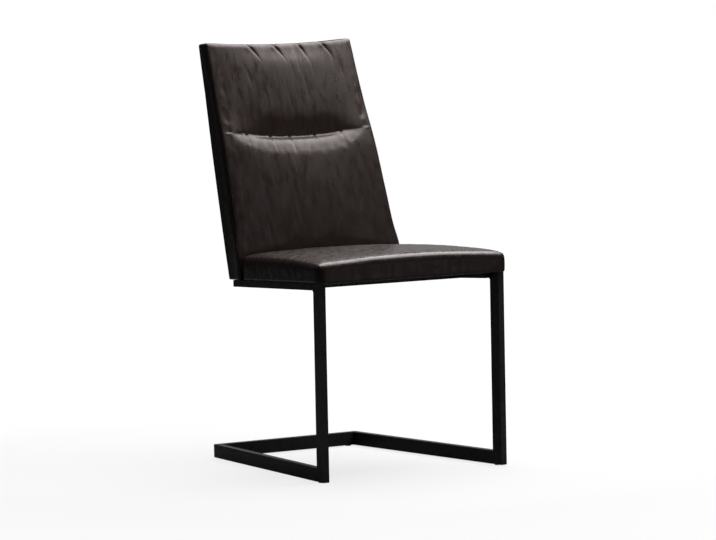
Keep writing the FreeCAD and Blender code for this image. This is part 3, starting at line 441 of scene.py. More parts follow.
@dataclass(frozen=True)
class Seam:
    """A sewn line on a cushion, given by points that lie close to its skin."""

    points: np.ndarray
    depth: float
    width: float

    def gaps(self, places: np.ndarray) -> np.ndarray:
        """Distance of each place from the line.

        Args:
            places: Rows in metres.

        Returns:
            Distances in millimetres.
        """
        nearest = np.full(len(places), 1e9)
        for start, end in zip(self.points[:-1], self.points[1:]):
            run = end - start
            share = np.clip((places - start) @ run / max(run @ run, 1e-12), 0.0, 1.0)
            nearest = np.minimum(nearest, np.linalg.norm(places - start - share[:, None] * run, axis=1))
        return nearest / MM


class Skin:
    """Finds places and directions on the outside of a finished cushion."""

    def __init__(self, piece: bpy.types.Object) -> None:
        """Reads the cushion's mesh.

        Args:
            piece: The finished cushion.
        """
        graph = bpy.context.evaluated_depsgraph_get()
        self.tree = BVHTree.FromObject(piece, graph)

    def nearest(self, point: np.ndarray) -> tuple[Vector, Vector]:
        """The skin's nearest place and its normal.

        Args:
            point: A place in metres.

        Returns:
            The place on the skin and the outward direction there.
        """
        place, normal, _, _ = self.tree.find_nearest(Vector(point))
        return place, normal


@dataclass(frozen=True)
class Stitching:
    """A row of thread stitches that follows a line on the skin."""

    length: float = 3.6
    pitch: float = 5.4
    radius: float = 0.45
    sides: int = 6

    def rings(self, middle: Vector, along: Vector, out: Vector) -> list[Vector]:
        """Points of one stitch: a short rounded thread that dips into the leather at both ends.

        Args:
            middle: Middle of the stitch on the skin.
            along: Direction of the row.
            out: Outward direction.

        Returns:
            Four rings of points, one after another.
        """
        across = out.cross(along)
        points = []
        ends, shoulder, rise, slim = 1.0, 0.55, 0.35, 0.7
        profile = ((-ends, -1.0, slim), (-shoulder, rise, 1.0), (shoulder, rise, 1.0), (ends, -1.0, slim))
        for share, dip, grow in profile:
            centre = middle + along * (share * self.length * MM / 2) + out * (dip * self.radius * MM)
            for k in range(self.sides):
                angle = 2 * math.pi * k / self.sides
                ring = across * math.cos(angle) + out * math.sin(angle)
                points.append(centre + ring * (self.radius * grow * MM))
        return points

    def sew(self, name: str, skin: Skin, lines: Iterable[np.ndarray]) -> bpy.types.Object:
        """Makes the stitches of several lines as one piece.

        Args:
            name: Name of the piece.
            skin: The cushion's skin.
            lines: For each line, its points in metres.

        Returns:
            The mesh object with all stitches.
        """
        points: list[Vector] = []
        faces: list[tuple[int, ...]] = []
        for line in lines:
            lengths = np.linalg.norm(np.diff(line, axis=0), axis=1)
            run = np.concatenate([[0.0], np.cumsum(lengths)])
            count = int(run[-1] / (self.pitch * MM))
            for i in range(count):
                here = (i + 0.5) * run[-1] / count
                near = np.array([np.interp(here, run, line[:, axis]) for axis in range(3)])
                ahead = np.array([np.interp(here + 0.5 * MM, run, line[:, axis]) for axis in range(3)])
                middle, out = skin.nearest(near)
                along = Vector(ahead - near)
                along = (along - out * along.dot(out)).normalized()
                if along.length < 0.5:
                    continue
                base = len(points)
                points += self.rings(middle, along, out)
                for ring in range(3):
                    for k in range(self.sides):
                        low = base + ring * self.sides
                        after = (k + 1) % self.sides
                        faces.append((low + k, low + after, low + self.sides + after, low + self.sides + k))
                last = base + 3 * self.sides
                faces.append(tuple(base + k for k in reversed(range(self.sides))))
                faces.append(tuple(last + k for k in range(self.sides)))
        return new_object(name, points, faces)


class NodeBoard:
    """Short ways to add and join shader nodes in one tree."""

    def __init__(self, tree: bpy.types.NodeTree) -> None:
        """Keeps the tree.

        Args:
            tree: The node tree to work in.
        """
        self.tree = tree

    def add(self, kind: str, values: Optional[dict] = None, **settings: object) -> bpy.types.Node:
        """Adds a node.

        Args:
            kind: The node's type name without its ShaderNode prefix.
            values: Input values, or sockets to join, by input name or number.
            **settings: Properties of the node.

        Returns:
            The node.
        """
        node = self.tree.nodes.new("ShaderNode" + kind)
        for key, value in settings.items():
            setattr(node, key, value)
        for key, value in (values or {}).items():
            self.feed(node, key, value)
        return node

    def feed(self, node: bpy.types.Node, key: object, value: object) -> None:
        """Sets an input, or joins a socket to it.

        Args:
            node: The node that takes the value.
            key: Name or number of the input.
            value: A number, a colour, a vector or an output socket.
        """
        if isinstance(value, bpy.types.NodeSocket):
            self.tree.links.new(value, node.inputs[key])
            return
        if isinstance(value, tuple) and len(value) == 3 and node.inputs[key].type == "RGBA":
            value = (*value, 1.0)
        node.inputs[key].default_value = value

    def maths(self, operation: str, first: object, second: object = 0.0, third: object = 0.0,
              clamp: bool = False) -> bpy.types.NodeSocket:
        """Adds a Math node.

        Args:
            operation: Blender's name of the operation.
            first: First number or socket.
            second: Second number or socket.
            third: Third number or socket.
            clamp: Whether the result stays within 0 and 1.

        Returns:
            The result's socket.
        """
        node = self.add("Math", {0: first, 1: second, 2: third}, operation=operation, use_clamp=clamp)
        return node.outputs[0]

    def blend(self, share: object, low: object, high: object) -> bpy.types.NodeSocket:
        """Mixes two colours.

        Args:
            share: Share of the second colour.
            low: First colour or socket.
            high: Second colour or socket.

        Returns:
            The mixed colour's socket.
        """
        node = self.add("Mix", data_type="RGBA")
        for key, value in ((0, share), (6, low), (7, high)):
            self.feed(node, key, value)
        return node.outputs[2]

    def range(self, value: object, low: float, high: float, start: float = 0.0,
              end: float = 1.0) -> bpy.types.NodeSocket:
        """Maps a number from one range to another.

        Args:
            value: Number or socket to map.
            low: Lower end of the incoming range.
            high: Upper end of the incoming range.
            start: Result at the lower end.
            end: Result at the upper end.

        Returns:
            The result's socket.
        """
        node = self.add("MapRange", {0: value, 1: low, 2: high, 3: start, 4: end})
        return node.outputs[0]


class EffectGroups:
    """Shader effects that several finishes share, each made once as a node group."""

    def __init__(self) -> None:
        """Makes all groups."""
        self.relief = self.make_relief()
        self.tone = self.make_tone()
        self.wear = self.make_wear()

    @staticmethod
    def start(name: str, inputs: Sequence[tuple[str, str, object]], outputs: Sequence[tuple[str, str]]
              ) -> tuple[bpy.types.NodeTree, NodeBoard, bpy.types.Node, bpy.types.Node]:
        """Opens a new group with its sockets.

        Args:
            name: Name of the group.
            inputs: Name, socket type and default value of each input.
            outputs: Name and socket type of each output.

        Returns:
            The group, its board, its input node and its output node.
        """
        group = bpy.data.node_groups.new(name, "ShaderNodeTree")
        for label, kind, value in inputs:
            socket = group.interface.new_socket(label, in_out="INPUT", socket_type=kind)
            socket.default_value = value
        for label, kind in outputs:
            group.interface.new_socket(label, in_out="OUTPUT", socket_type=kind)
        board = NodeBoard(group)
        return group, board, group.nodes.new("NodeGroupInput"), group.nodes.new("NodeGroupOutput")

    def make_relief(self) -> bpy.types.NodeTree:
        """Fine relief: small grains with softer waves under them."""
        group, board, given, result = self.start(
            "fine_relief",
            [("Grain", "NodeSocketFloat", 900.0), ("Wave", "NodeSocketFloat", 60.0),
             ("Share", "NodeSocketFloat", 0.3)],
            [("Height", "NodeSocketFloat")],
        )
        place = board.add("TexCoord").outputs["Object"]
        grain = board.add("TexNoise", {"Vector": place, "Scale": given.outputs["Grain"], "Detail": 2.0})
        wave = board.add("TexNoise", {"Vector": place, "Scale": given.outputs["Wave"], "Detail": 1.0})
        scaled = board.maths("MULTIPLY", wave.outputs["Fac"], given.outputs["Share"])
        board.tree.links.new(board.maths("ADD", grain.outputs["Fac"], scaled), result.inputs["Height"])
        return group

    def make_tone(self) -> bpy.types.NodeTree:
        """Slow drift of a colour's depth over the surface."""
        group, board, given, result = self.start(
            "tone_drift",
            [("Colour", "NodeSocketColor", (0.5, 0.5, 0.5, 1.0)),
             ("Other", "NodeSocketColor", (0.4, 0.4, 0.4, 1.0)),
             ("Scale", "NodeSocketFloat", 9.0), ("Amount", "NodeSocketFloat", 0.5)],
            [("Colour", "NodeSocketColor"), ("Mask", "NodeSocketFloat")],
        )
        place = board.add("TexCoord").outputs["Object"]
        drift = board.add("TexNoise", {"Vector": place, "Scale": given.outputs["Scale"], "Detail": 4.0,
                                       "Roughness": 0.6})
        mask = board.range(drift.outputs["Fac"], 0.35, 0.65)
        share = board.maths("MULTIPLY", mask, given.outputs["Amount"], clamp=True)
        colour = board.blend(share, given.outputs["Colour"], given.outputs["Other"])
        board.tree.links.new(colour, result.inputs["Colour"])
        board.tree.links.new(mask, result.inputs["Mask"])
        return group

    def make_wear(self) -> bpy.types.NodeTree:
        """Mask of the edges that hands and floor rub, broken up by noise."""
        group, board, given, result = self.start(
            "edge_rub",
            [("Spread", "NodeSocketFloat", 0.04), ("Amount", "NodeSocketFloat", 0.5)],
            [("Mask", "NodeSocketFloat")],
        )
        bend = board.add("NewGeometry").outputs["Pointiness"]
        raised = board.maths("SUBTRACT", bend, 0.5)
        edge = board.maths("DIVIDE", raised, given.outputs["Spread"], clamp=True)
        place = board.add("TexCoord").outputs["Object"]
        patches = board.add("TexNoise", {"Vector": place, "Scale": 70.0, "Detail": 5.0, "Roughness": 0.65})
        broken = board.range(patches.outputs["Fac"], 0.4, 0.6)
        rubbed = board.maths("MULTIPLY", edge, broken)
        board.tree.links.new(board.maths("MULTIPLY", rubbed, given.outputs["Amount"], clamp=True),
                             result.inputs["Mask"])
        return group


def new_material(name: str) -> tuple[bpy.types.Material, NodeBoard, bpy.types.Node]:
    """A material with one Principled shader.

    Args:
        name: Name of the material.

    Returns:
        The material, its node board and its shader node.
    """
    material = bpy.data.materials.new(name)
    material.use_nodes = True
    material.node_tree.nodes.clear()
    board = NodeBoard(material.node_tree)
    shader = board.add("BsdfPrincipled")
    output = board.add("OutputMaterial")
    material.node_tree.links.new(shader.outputs[0], output.inputs[0])
    return material, board, shader


def group_node(board: NodeBoard, group: bpy.types.NodeTree, values: dict) -> bpy.types.Node:
    """Places an effect group in a material.

    Args:
        board: The material's board.
        group: The effect group.
        values: Input values by name.

    Returns:
        The group node.
    """
    node = board.add("Group")
    node.node_tree = group
    for key, value in values.items():
        board.feed(node, key, value)
    return node


@dataclass(frozen=True)
class CoatedFinish:
    """A painted, plated or moulded surface: one colour with a fine skin."""

    name: str
    colour: Colour
    other: Colour
    roughness: float
    grain: float
    wave: float = 60.0
    bump: float = 0.08
    skin: float = 0.0004
    metallic: float = 0.0
    specular: float = 0.5
    rub: float = 0.0
    rubbed: Colour = (0.2, 0.2, 0.2)

    def build(self, effects: EffectGroups) -> bpy.types.Material:
        """Makes the material.

        Args:
            effects: The shared effect groups.

        Returns:
            The material.
        """
        material, board, shader = new_material(self.name)
        tone = group_node(board, effects.tone, {"Colour": self.colour, "Other": self.other, "Scale": 6.0,
                                                "Amount": 0.8})
        wear = group_node(board, effects.wear, {"Spread": 0.05, "Amount": self.rub})
        colour = board.blend(wear.outputs["Mask"], tone.outputs["Colour"], self.rubbed)
        rough = board.range(tone.outputs["Mask"], 0.0, 1.0, self.roughness - 0.03, self.roughness + 0.04)
        relief = group_node(board, effects.relief, {"Grain": self.grain, "Wave": self.wave, "Share": 0.5})
        height = relief.outputs["Height"]
        bump = board.add("Bump", {"Strength": self.bump, "Distance": self.skin, "Height": height})
        for key, value in (("Base Color", colour), ("Roughness", rough), ("Normal", bump.outputs["Normal"]),
                           ("Metallic", self.metallic), ("Specular IOR Level", self.specular)):
            board.feed(shader, key, value)
        return material


@dataclass(frozen=True)
class LeatherFinish:
    """Dark semi-gloss leather: pebbled grain, a slow drift of tone and upright pull-up streaks."""

    name: str = "leather_brown"
    colour: Colour = (0.0125, 0.0073, 0.0064)
    pale: Colour = (0.023, 0.0140, 0.0122)
    deep: Colour = (0.005, 0.0031, 0.0028)
    gloss: Colour = (1.0, 0.87, 0.84)
    roughness: float = 0.30
    pebble: float = 420.0
    streak: float = 64.0
    upright: float = 0.17
    streak_share: float = 0.4

    def build(self, effects: EffectGroups) -> bpy.types.Material:
        """Makes the material.

        Args:
            effects: The shared effect groups.

        Returns:
            The material.
        """
        material, board, shader = new_material(self.name)
        place = board.add("TexCoord").outputs["Object"]
        cells = board.add("TexVoronoi", {"Vector": place, "Scale": self.pebble}, feature="DISTANCE_TO_EDGE")
        pebbles = board.range(cells.outputs["Distance"], 0.0, 0.12)
        stretched = board.add("Mapping", {"Vector": place, "Scale": (1.0, 1.0, self.upright)})
        streaks = board.add("TexNoise", {"Vector": stretched.outputs[0], "Scale": self.streak,
                                         "Detail": 1.2, "Roughness": 0.55, "Distortion": 0.15})
        streak = board.range(streaks.outputs["Fac"], 0.36, 0.64)
        tone = group_node(board, effects.tone, {"Colour": self.colour, "Other": self.pale, "Scale": 7.0,
                                                "Amount": 0.5})
        share = board.maths("MULTIPLY", streak, self.streak_share)
        aged = board.blend(share, tone.outputs["Colour"], self.deep)
        rough = board.range(streaks.outputs["Fac"], 0.3, 0.7, self.roughness - 0.07, self.roughness + 0.12)
        relief = group_node(board, effects.relief, {"Grain": 1500.0, "Wave": 160.0, "Share": 0.6})
        raised = board.maths("MULTIPLY_ADD", pebbles, 0.8, relief.outputs["Height"])
        height = board.maths("MULTIPLY_ADD", streaks.outputs["Fac"], -1.2, raised)
        bump = board.add("Bump", {"Strength": 0.08, "Distance": 0.0005, "Height": height})
        for key, value in (("Base Color", aged), ("Roughness", rough), ("Normal", bump.outputs["Normal"]),
                           ("Coat Weight", 0.04), ("Coat Roughness", 0.2), ("Specular IOR Level", 0.34),
                           ("Specular Tint", self.gloss)):
            board.feed(shader, key, value)
        return material


@dataclass(frozen=True)
class WovenFinish:
    """Cloth or thread with crossing yarns."""

    name: str
    colour: Colour
    other: Colour
    yarn: float = 900.0
    roughness: float = 0.85

    def build(self, effects: EffectGroups) -> bpy.types.Material:
        """Makes the material.

        Args:
            effects: The shared effect groups.

        Returns:
            The material.
        """
        material, board, shader = new_material(self.name)
        place = board.add("TexCoord").outputs["Object"]
        warp = board.add("TexWave", {"Vector": place, "Scale": self.yarn}, bands_direction="X")
        weft = board.add("TexWave", {"Vector": place, "Scale": self.yarn}, bands_direction="Y")
        cross = board.maths("MULTIPLY", warp.outputs["Fac"], weft.outputs["Fac"])
        tone = group_node(board, effects.tone, {"Colour": self.colour, "Other": self.other, "Scale": 20.0,
                                                "Amount": 0.8})
        colour = board.blend(board.maths("MULTIPLY", cross, 0.4), tone.outputs["Colour"], self.other)
        relief = group_node(board, effects.relief, {"Grain": 1200.0, "Wave": 300.0, "Share": 0.5})
        height = board.maths("ADD", cross, relief.outputs["Height"])
        bump = board.add("Bump", {"Strength": 0.3, "Distance": 0.0003, "Height": height})
        for key, value in (("Base Color", colour), ("Roughness", self.roughness),
                           ("Normal", bump.outputs["Normal"])):
            board.feed(shader, key, value)
        return material


@dataclass(frozen=True)
class PlywoodFinish:
    """Birch plywood with long rings."""

    name: str = "plywood_birch"
    light: Colour = (0.62, 0.45, 0.28)
    dark: Colour = (0.42, 0.27, 0.15)

    def build(self, effects: EffectGroups) -> bpy.types.Material:
        """Makes the material.

        Args:
            effects: The shared effect groups.

        Returns:
            The material.
        """
        material, board, shader = new_material(self.name)
        place = board.add("TexCoord").outputs["Object"]
        long = board.add("Mapping", {"Vector": place, "Scale": (6.0, 0.7, 6.0)})
        rings = board.add("TexWave", {"Vector": long.outputs[0], "Scale": 3.0, "Distortion": 5.0,
                                      "Detail": 3.0})
        tone = group_node(board, effects.tone, {"Colour": self.light, "Other": self.dark, "Scale": 12.0,
                                                "Amount": 0.5})
        share = board.maths("MULTIPLY", rings.outputs["Fac"], 0.5)
        colour = board.blend(share, tone.outputs["Colour"], self.dark)
        relief = group_node(board, effects.relief, {"Grain": 800.0, "Wave": 90.0, "Share": 0.4})
        bump = board.add("Bump", {"Strength": 0.15, "Distance": 0.0004, "Height": relief.outputs["Height"]})
        for key, value in (("Base Color", colour), ("Roughness", 0.6), ("Normal", bump.outputs["Normal"])):
            board.feed(shader, key, value)
        return material


@dataclass
class FinishBook:
    """All finishes of the chair, by material slot."""

    effects: EffectGroups = field(default_factory=EffectGroups)
    book: dict[Slot, bpy.types.Material] = field(default_factory=dict)

    def fill(self) -> None:
        """Makes every finish once."""
        finishes = {
            Slot.FRAME: CoatedFinish(
                "frame_powder_coat", (0.009, 0.0087, 0.009), (0.013, 0.0126, 0.013),
                roughness=0.46, grain=700.0, bump=0.16, specular=0.3, rub=0.35, rubbed=(0.04, 0.04, 0.042)),
            Slot.HIDDEN: CoatedFinish(
                "primed_steel", (0.05, 0.05, 0.055), (0.07, 0.068, 0.07),
                roughness=0.6, grain=500.0, bump=0.2, rub=0.2),
            Slot.CAP: CoatedFinish(
                "moulded_cap_plastic", (0.013, 0.013, 0.0135), (0.018, 0.018, 0.018),
                roughness=0.55, grain=1400.0, bump=0.25, rub=0.25, rubbed=(0.04, 0.04, 0.04)),
            Slot.ZINC: CoatedFinish(
                "zinc_plated_steel", (0.58, 0.58, 0.57), (0.48, 0.49, 0.5),
                roughness=0.32, grain=600.0, bump=0.1, metallic=1.0, rub=0.3, rubbed=(0.75, 0.75, 0.74)),
            Slot.LEATHER: LeatherFinish(),
            Slot.PLYWOOD: PlywoodFinish(),
            Slot.LINING: WovenFinish("lining_cloth", (0.016, 0.016, 0.017), (0.03, 0.03, 0.031)),
        }
        for slot, finish in finishes.items():
            self.book[slot] = finish.build(self.effects)
        thread = WovenFinish("sewing_thread", (0.022, 0.016, 0.015), (0.04, 0.03, 0.028),
                             yarn=2500.0, roughness=0.6)
        self.thread = thread.build(self.effects)

    def dress(self, piece: bpy.types.Object, slot: Slot,
              material: Optional[bpy.types.Material] = None) -> None:
        """Gives a made piece the material of its slot, and fixes it to the chair.

        Args:
            piece: The piece.
            slot: Its material slot in the record.
            material: Another material than the slot's own.
        """
        piece.data.materials.clear()
        piece.data.materials.append(material or self.book[slot])
        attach(piece, "root")


@dataclass
class SteelFrame:
    """The frame and everything that shows as the CAD made it."""

    finishes: FinishBook

    def dress(self) -> None:
        """Gives each carried-over CAD node its finish by its slot in the record."""
        slots = {row["node"]: row["material_slot"] for row in frame["record"]["subparts"]}
        for name, node in frame["nodes"].items():
            slot = Slot(slots[name])
            material = self.finishes.book.get(slot)
            if material is None:
                continue
            if node.material_slots:
                for held in node.material_slots:
                    held.material = material
            else:
                node.data.materials.append(material)
        LOG.info("dressed %d frame and inner pieces", len(frame["nodes"]))


@dataclass
class SeatCushion:
    """The leather seat: crowned top, drawn-in sides, side seams and a lip that hangs before the legs."""

    sizes: ChairSizes
    datum: Datum
    finishes: FinishBook
    proud: float = 6.1
    draw: float = 2.0
    corner: float = 16.0
    edge_support: float = 27.0
    foot_support: float = 3.5
    foot_rise: float = 0.3
    lip_drop: float = 3.4
    step: float = 16.0
    tall: float = 56.0
    bend_height: float = 19.0
    seam_inset: float = 2.1
    stitch_inset: float = 3.6
    corner_points: int = 14
    lip_height: float = 18.0
    foot_hold: tuple[float, float] = (6.0, 24.0)
    rear_hold: tuple[float, float] = (20.0, 4.0)
    seam_hold: float = 12.0
    front_hold: float = 26.0

    def half_width(self, depth: np.ndarray) -> np.ndarray:
        """Half the seat's width, drawn in between the corners.

        Args:
            depth: Distance behind the front of the legs.

        Returns:
            Distance of the side from the middle.
        """
        sizes = self.sizes
        edge = sizes.front_width / 2 + self.proud - depth * sizes.taper
        middle = (sizes.seat_front + sizes.seat_rear) / 2
        reach = (sizes.seat_rear - sizes.seat_front) / 2 - self.corner
        return edge - self.draw * np.clip(1.0 - np.square((depth - middle) / reach), 0.0, 1.0)

    def front_line(self, across: np.ndarray) -> np.ndarray:
        """Depth of the seat's front edge, drawn in between the corners.

        Args:
            across: Distance from the middle.

        Returns:
            Depth of the edge.
        """
        reach = self.sizes.front_width / 2 - self.corner
        return self.sizes.seat_front + self.draw * np.clip(1.0 - np.square(across / reach), 0.0, 1.0)

    def mapping(self, across: np.ndarray, along: np.ndarray, through: np.ndarray) -> np.ndarray:
        """Points of the seat block.

        Args:
            across: Share of the half width, from -1 to 1.
            along: Millimetres behind the front edge.
            through: Share of the height, from 0 at the foot to 1 at the crown.

        Returns:
            Points in metres.
        """
        sizes = self.sizes
        share = along / (sizes.seat_rear - sizes.seat_front)
        depth = sizes.seat_front + along
        width = across * self.half_width(depth)
        start = self.front_line(width)
        depth = start + (sizes.seat_rear - start) * share
        foot = sizes.deck(depth, sizes.rail_height + self.foot_rise)
        height = foot + (sizes.crown(width, depth) - foot) * through
        return self.datum.place(width, depth, height)

    def base(self) -> bpy.types.Object:
        """The seat's form before it swells."""
        sizes = self.sizes
        length = sizes.seat_rear - sizes.seat_front
        support = self.edge_support
        half = sizes.front_width / 2
        across = framed(-half, half, support, self.step) / half
        along = framed(0.0, length, support, self.step)
        marks = [0.0, self.foot_support, self.bend_height, self.tall - self.edge_support, self.tall]
        through = np.array(marks) / self.tall
        piece = GridBlock(across, along, through).build("seat_cushion", self.mapping)
        subdivided(piece, 1)
        return piece

    def seam_lines(self) -> list[np.ndarray]:
        """The two side seams, along the upper edges of the side panels and down the front corners."""
        sizes = self.sizes
        lines = []
        for side in Side:
            depth = np.linspace(sizes.seat_front + 6.0, sizes.seat_rear - 4.0, 90)
            width = side.value * (self.half_width(depth) - self.seam_inset)
            height = sizes.crown(width, depth) - 2.0
            top = self.datum.place(width, depth, height)
            drop = np.linspace(1.0, 0.05, self.corner_points)
            corner_depth = np.full(self.corner_points, sizes.seat_front + 7.0)
            corner_width = side.value * (self.half_width(corner_depth) - 0.5)
            foot = sizes.deck(corner_depth, sizes.rail_height + self.foot_rise)
            fall = foot + (height[0] - foot) * drop
            corner = self.datum.place(corner_width, corner_depth, fall)
            lines.append(np.concatenate([corner[::-1], top]))
        return lines

    def soften(self, piece: bpy.types.Object) -> None:
        """Adds the lip before the legs, the seam valleys and small waves to the leather.

        Args:
            piece: The swollen cushion.
        """
        points = mesh_points(piece.data)
        normals = mesh_normals(piece.data)
        across, depth, height = self.datum.back_to_drawing(points)
        rows = np.stack([across, depth, height], axis=1)
        up = np.clip(normals[:, 2], 0.0, 1.0)
        sides = 1.0 - np.abs(normals[:, 2])
        rise = height - self.sizes.deck(depth, self.sizes.rail_height)
        out = np.zeros(len(points))
        lip = (1.0 - smooth_step(depth, -5.0, 0.0)) * (1.0 - smooth_step(rise, 0.0, self.lip_height))
        points[:, 2] -= self.lip_drop * MM * lip
        out += 0.55 * up * noise_field(rows, (60.0, 90.0, 60.0), 3.1)
        out += 0.22 * up * noise_field(rows, (16.0, 60.0, 30.0), 8.7)
        out += 0.45 * sides * noise_field(rows, (38.0, 38.0, 26.0), 5.2)
        for line in self.seam_lines():
            seam = Seam(line, depth=0.5, width=1.8)
            gap = seam.gaps(points)
            out -= seam.depth * bell(gap, seam.width)
            near = bell(gap - 7.0, 5.0)
            out += 0.2 * near * noise_field(rows, (14.0, 14.0, 14.0), 2.4)
        move_points(piece.data, points + normals * (out * MM)[:, None])

    def build(self) -> bpy.types.Object:
        """Makes the cushion and its stitches.

        Returns:
            The cushion.
        """
        piece = self.base()
        points = mesh_points(piece.data)
        across, depth, height = self.datum.back_to_drawing(points)
        foot = self.sizes.deck(depth, self.sizes.rail_height)
        held = 1.0 - smooth_step(height - foot, *self.foot_hold)
        start, end = (self.sizes.seat_rear - gap for gap in self.rear_hold)
        held = np.maximum(held, smooth_step(depth, start, end))
        edge = np.abs(np.abs(across) - self.half_width(depth) + self.seam_inset)
        upper = smooth_step(height - self.sizes.crown(across, depth), -14.0, -4.0)
        held = np.maximum(held, 0.95 * bell(edge, self.seam_hold) * upper)
        front = np.abs(depth - self.front_line(across))
        held = np.maximum(held, 0.9 * bell(front, self.front_hold))
        Stuffing(limit=1.5).swell(piece, held)
        subdivided(piece, 2)
        self.soften(piece)
        self.finishes.dress(piece, Slot.LEATHER)
        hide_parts("seat_foam", "seat_cover_top", "seat_cover_left_side", "seat_cover_right_side",
                    "seat_cover_rear")
        skin = Skin(piece)
        inner = []
        for line, side in zip(self.seam_lines(), Side):
            moved = line[self.corner_points:].copy()
            moved[:, 0] -= side.value * self.stitch_inset * MM
            inner.append(moved)
        thread = Stitching().sew("seat_stitches", skin, inner)
        self.finishes.dress(thread, Slot.LEATHER, self.finishes.thread)
        LOG.info("seat cushion of %d faces", len(piece.data.polygons))
        return piece


@dataclass
class BackCushion:
    """The leather back: a wedge with a curved sewn channel, tucks under it and pleats at its top."""

    sizes: ChairSizes
    datum: Datum
    finishes: FinishBook
    foot_rear: float = 438.0
    rear_lean: float = 15.7
    front_lean: float = 19.1
    top: float = 942.8
    top_drop: float = 4.0
    top_depth: float = 48.0
    top_dip: float = 7.0
    top_radius: float = 2500.0
    rear_bulge: float = 6.0
    rear_radius: float = 6000.0
    side_lean: float = 0.95
    proud: float = 9.2
    rear_draw: float = 2.4
    top_flare: float = 2.4
    foot_flare: float = 6.0
    level: float = 472.0
    seam_level: float = 727.0
    crown_radius: float = 2400.0
    lower_bulge: float = 5.0
    lower_swell: float = 1.9
    upper_bulge: float = 11.0
    upper_taper: float = 0.6
    lower_pillow: float = 6.0
    upper_pillow: float = 5.0
    upper_power: float = 6.0
    pillow_ends: tuple[float, float] = (30.0, 165.0)
    seam_rise: float = 269.0
    seam_radius: float = 1170.0
    crease: float = 12.0
    crease_below: float = 9.5
    crease_above: float = 34.0
    crease_ends: tuple[float, float] = (60.0, 194.0)
    edge_support: float = 13.0
    top_support: float = 9.0
    foot_support: float = 3.0
    step: float = 16.0
    side_inset: float = 2.4
    stitch_inset: float = 3.4
    foot_hold: tuple[float, float] = (440.0, 486.0)
    rear_hold: tuple[float, float] = (24.0, 40.0)
    edge_hold: float = 16.0
    seam_hold_below: float = 30.0
    seam_hold_above: float = 8.0
    pleats: tuple[float, ...] = (-81.0, -15.5, 49.0, 114.0)
    tucks: tuple[float, ...] = (-136.0, -71.0, -21.0, 46.0, 115.0)
    wave_depth: float = 0.26
    fine_depth: float = 0.12
    tuck_depth: float = 2.2
    tuck_width: float = 2.2
    pleat_width: float = 2.4
    creases: int = 46

    @property
    def rear_top(self) -> float:
        """Depth of the back's upper rear edge."""
        foot = self.foot(self.foot_rear)
        return self.foot_rear + (self.top - self.top_drop - foot) * math.tan(math.radians(self.rear_lean))

    @property
    def front_base(self) -> float:
        """Depth of the front plane at the level where it is set out."""
        rise = self.top - self.level
        return self.rear_top - self.top_depth - rise * math.tan(math.radians(self.front_lean))

    def foot(self, depth: float) -> float:
        """Height of the back's foot at a depth."""
        return float(self.sizes.deck(np.asarray(depth), self.sizes.rail_height + 0.7))

    def half_width(self, depth: np.ndarray, height: np.ndarray) -> np.ndarray:
        """Half the back's width.

        Args:
            depth: Distance behind the front of the legs.
            height: Height over the runners' underside.

        Returns:
            Distance of the side from the middle.
        """
        lean = math.tan(math.radians(self.side_lean))
        front = self.front_base + (height - self.level) * math.tan(math.radians(self.front_lean))
        behind = smooth_step(depth - front, 5.0, 40.0)
        flare = self.top_flare * smooth_step(height, 830.0, 940.0)
        flare = flare + self.foot_flare * (1.0 - smooth_step(height, 470.0, 530.0)) * (1.0 - behind)
        draw = self.rear_draw * behind
        edge = self.sizes.front_width / 2 + self.proud + flare - draw
        return edge - depth * self.sizes.taper - (height - self.level) * lean

    def seam_height(self, across: np.ndarray) -> np.ndarray:
        """Place of the sewn channel up the front plane.

        Args:
            across: Distance from the middle.

        Returns:
            Distance from the level where the front plane is set out.
        """
        radius = self.seam_radius
        return self.seam_rise + radius - np.sqrt(radius**2 - np.square(across))

    def top_height(self, across: np.ndarray) -> np.ndarray:
        """Height of the dipping top edge at the front.

        Args:
            across: Distance from the middle.

        Returns:
            Height over the runners' underside.
        """
        return self.top - self.top_dip + np.square(across) / (2 * self.top_radius)

    def front_depth(self, across: np.ndarray, rise: np.ndarray) -> np.ndarray:
        """How far the front skin stands behind the front plane, below zero where it bulges out.

        Args:
            across: Distance from the middle.
            rise: Distance up the front plane.

        Returns:
            Millimetres into the back.
        """
        crown = np.square(across) / (2 * self.crown_radius)
        lower = crown - self.lower_bulge - rise * math.tan(math.radians(self.lower_swell))
        upper = crown - self.upper_bulge + rise * math.tan(math.radians(self.upper_taper))
        gap = rise - self.seam_height(across)
        low_share = np.clip(rise / self.seam_height(across), 0.0, 1.0)
        high_share = np.clip(gap / (self.top - self.level - self.seam_rise), 0.0, 1.0)
        full = 1.0 - 0.9 * smooth_step(np.abs(across), *self.pillow_ends)
        lower = lower - self.lower_pillow * full * (0.5 - np.square(2.0 * low_share - 1.0))
        hump = 0.5 - np.abs(2.0 * high_share - 1.0) ** self.upper_power
        upper = upper - self.upper_pillow * full * hump
        sharp = np.where(gap < 0, lower, upper)
        soft = lower + (upper - lower) * smooth_step(gap, -60.0, 60.0)
        fade = 1.0 - smooth_step(np.abs(across), *self.crease_ends)
        below = np.exp(np.minimum(gap, 0.0) / self.crease_below)
        above = np.exp(-np.maximum(gap, 0.0) / self.crease_above)
        level = np.where(gap < 0, self.lower_lift, 0.0)
        depth = (self.crease + level) * np.where(gap < 0, below, above)
        return sharp * fade + soft * (1.0 - fade) + depth * fade

    @property
    def lower_lift(self) -> float:
        """How far the lower panel stands ahead of the upper one at the seam."""
        rise = self.seam_rise
        lower = self.lower_bulge + rise * math.tan(math.radians(self.lower_swell))
        return lower - self.upper_bulge + rise * math.tan(math.radians(self.upper_taper))

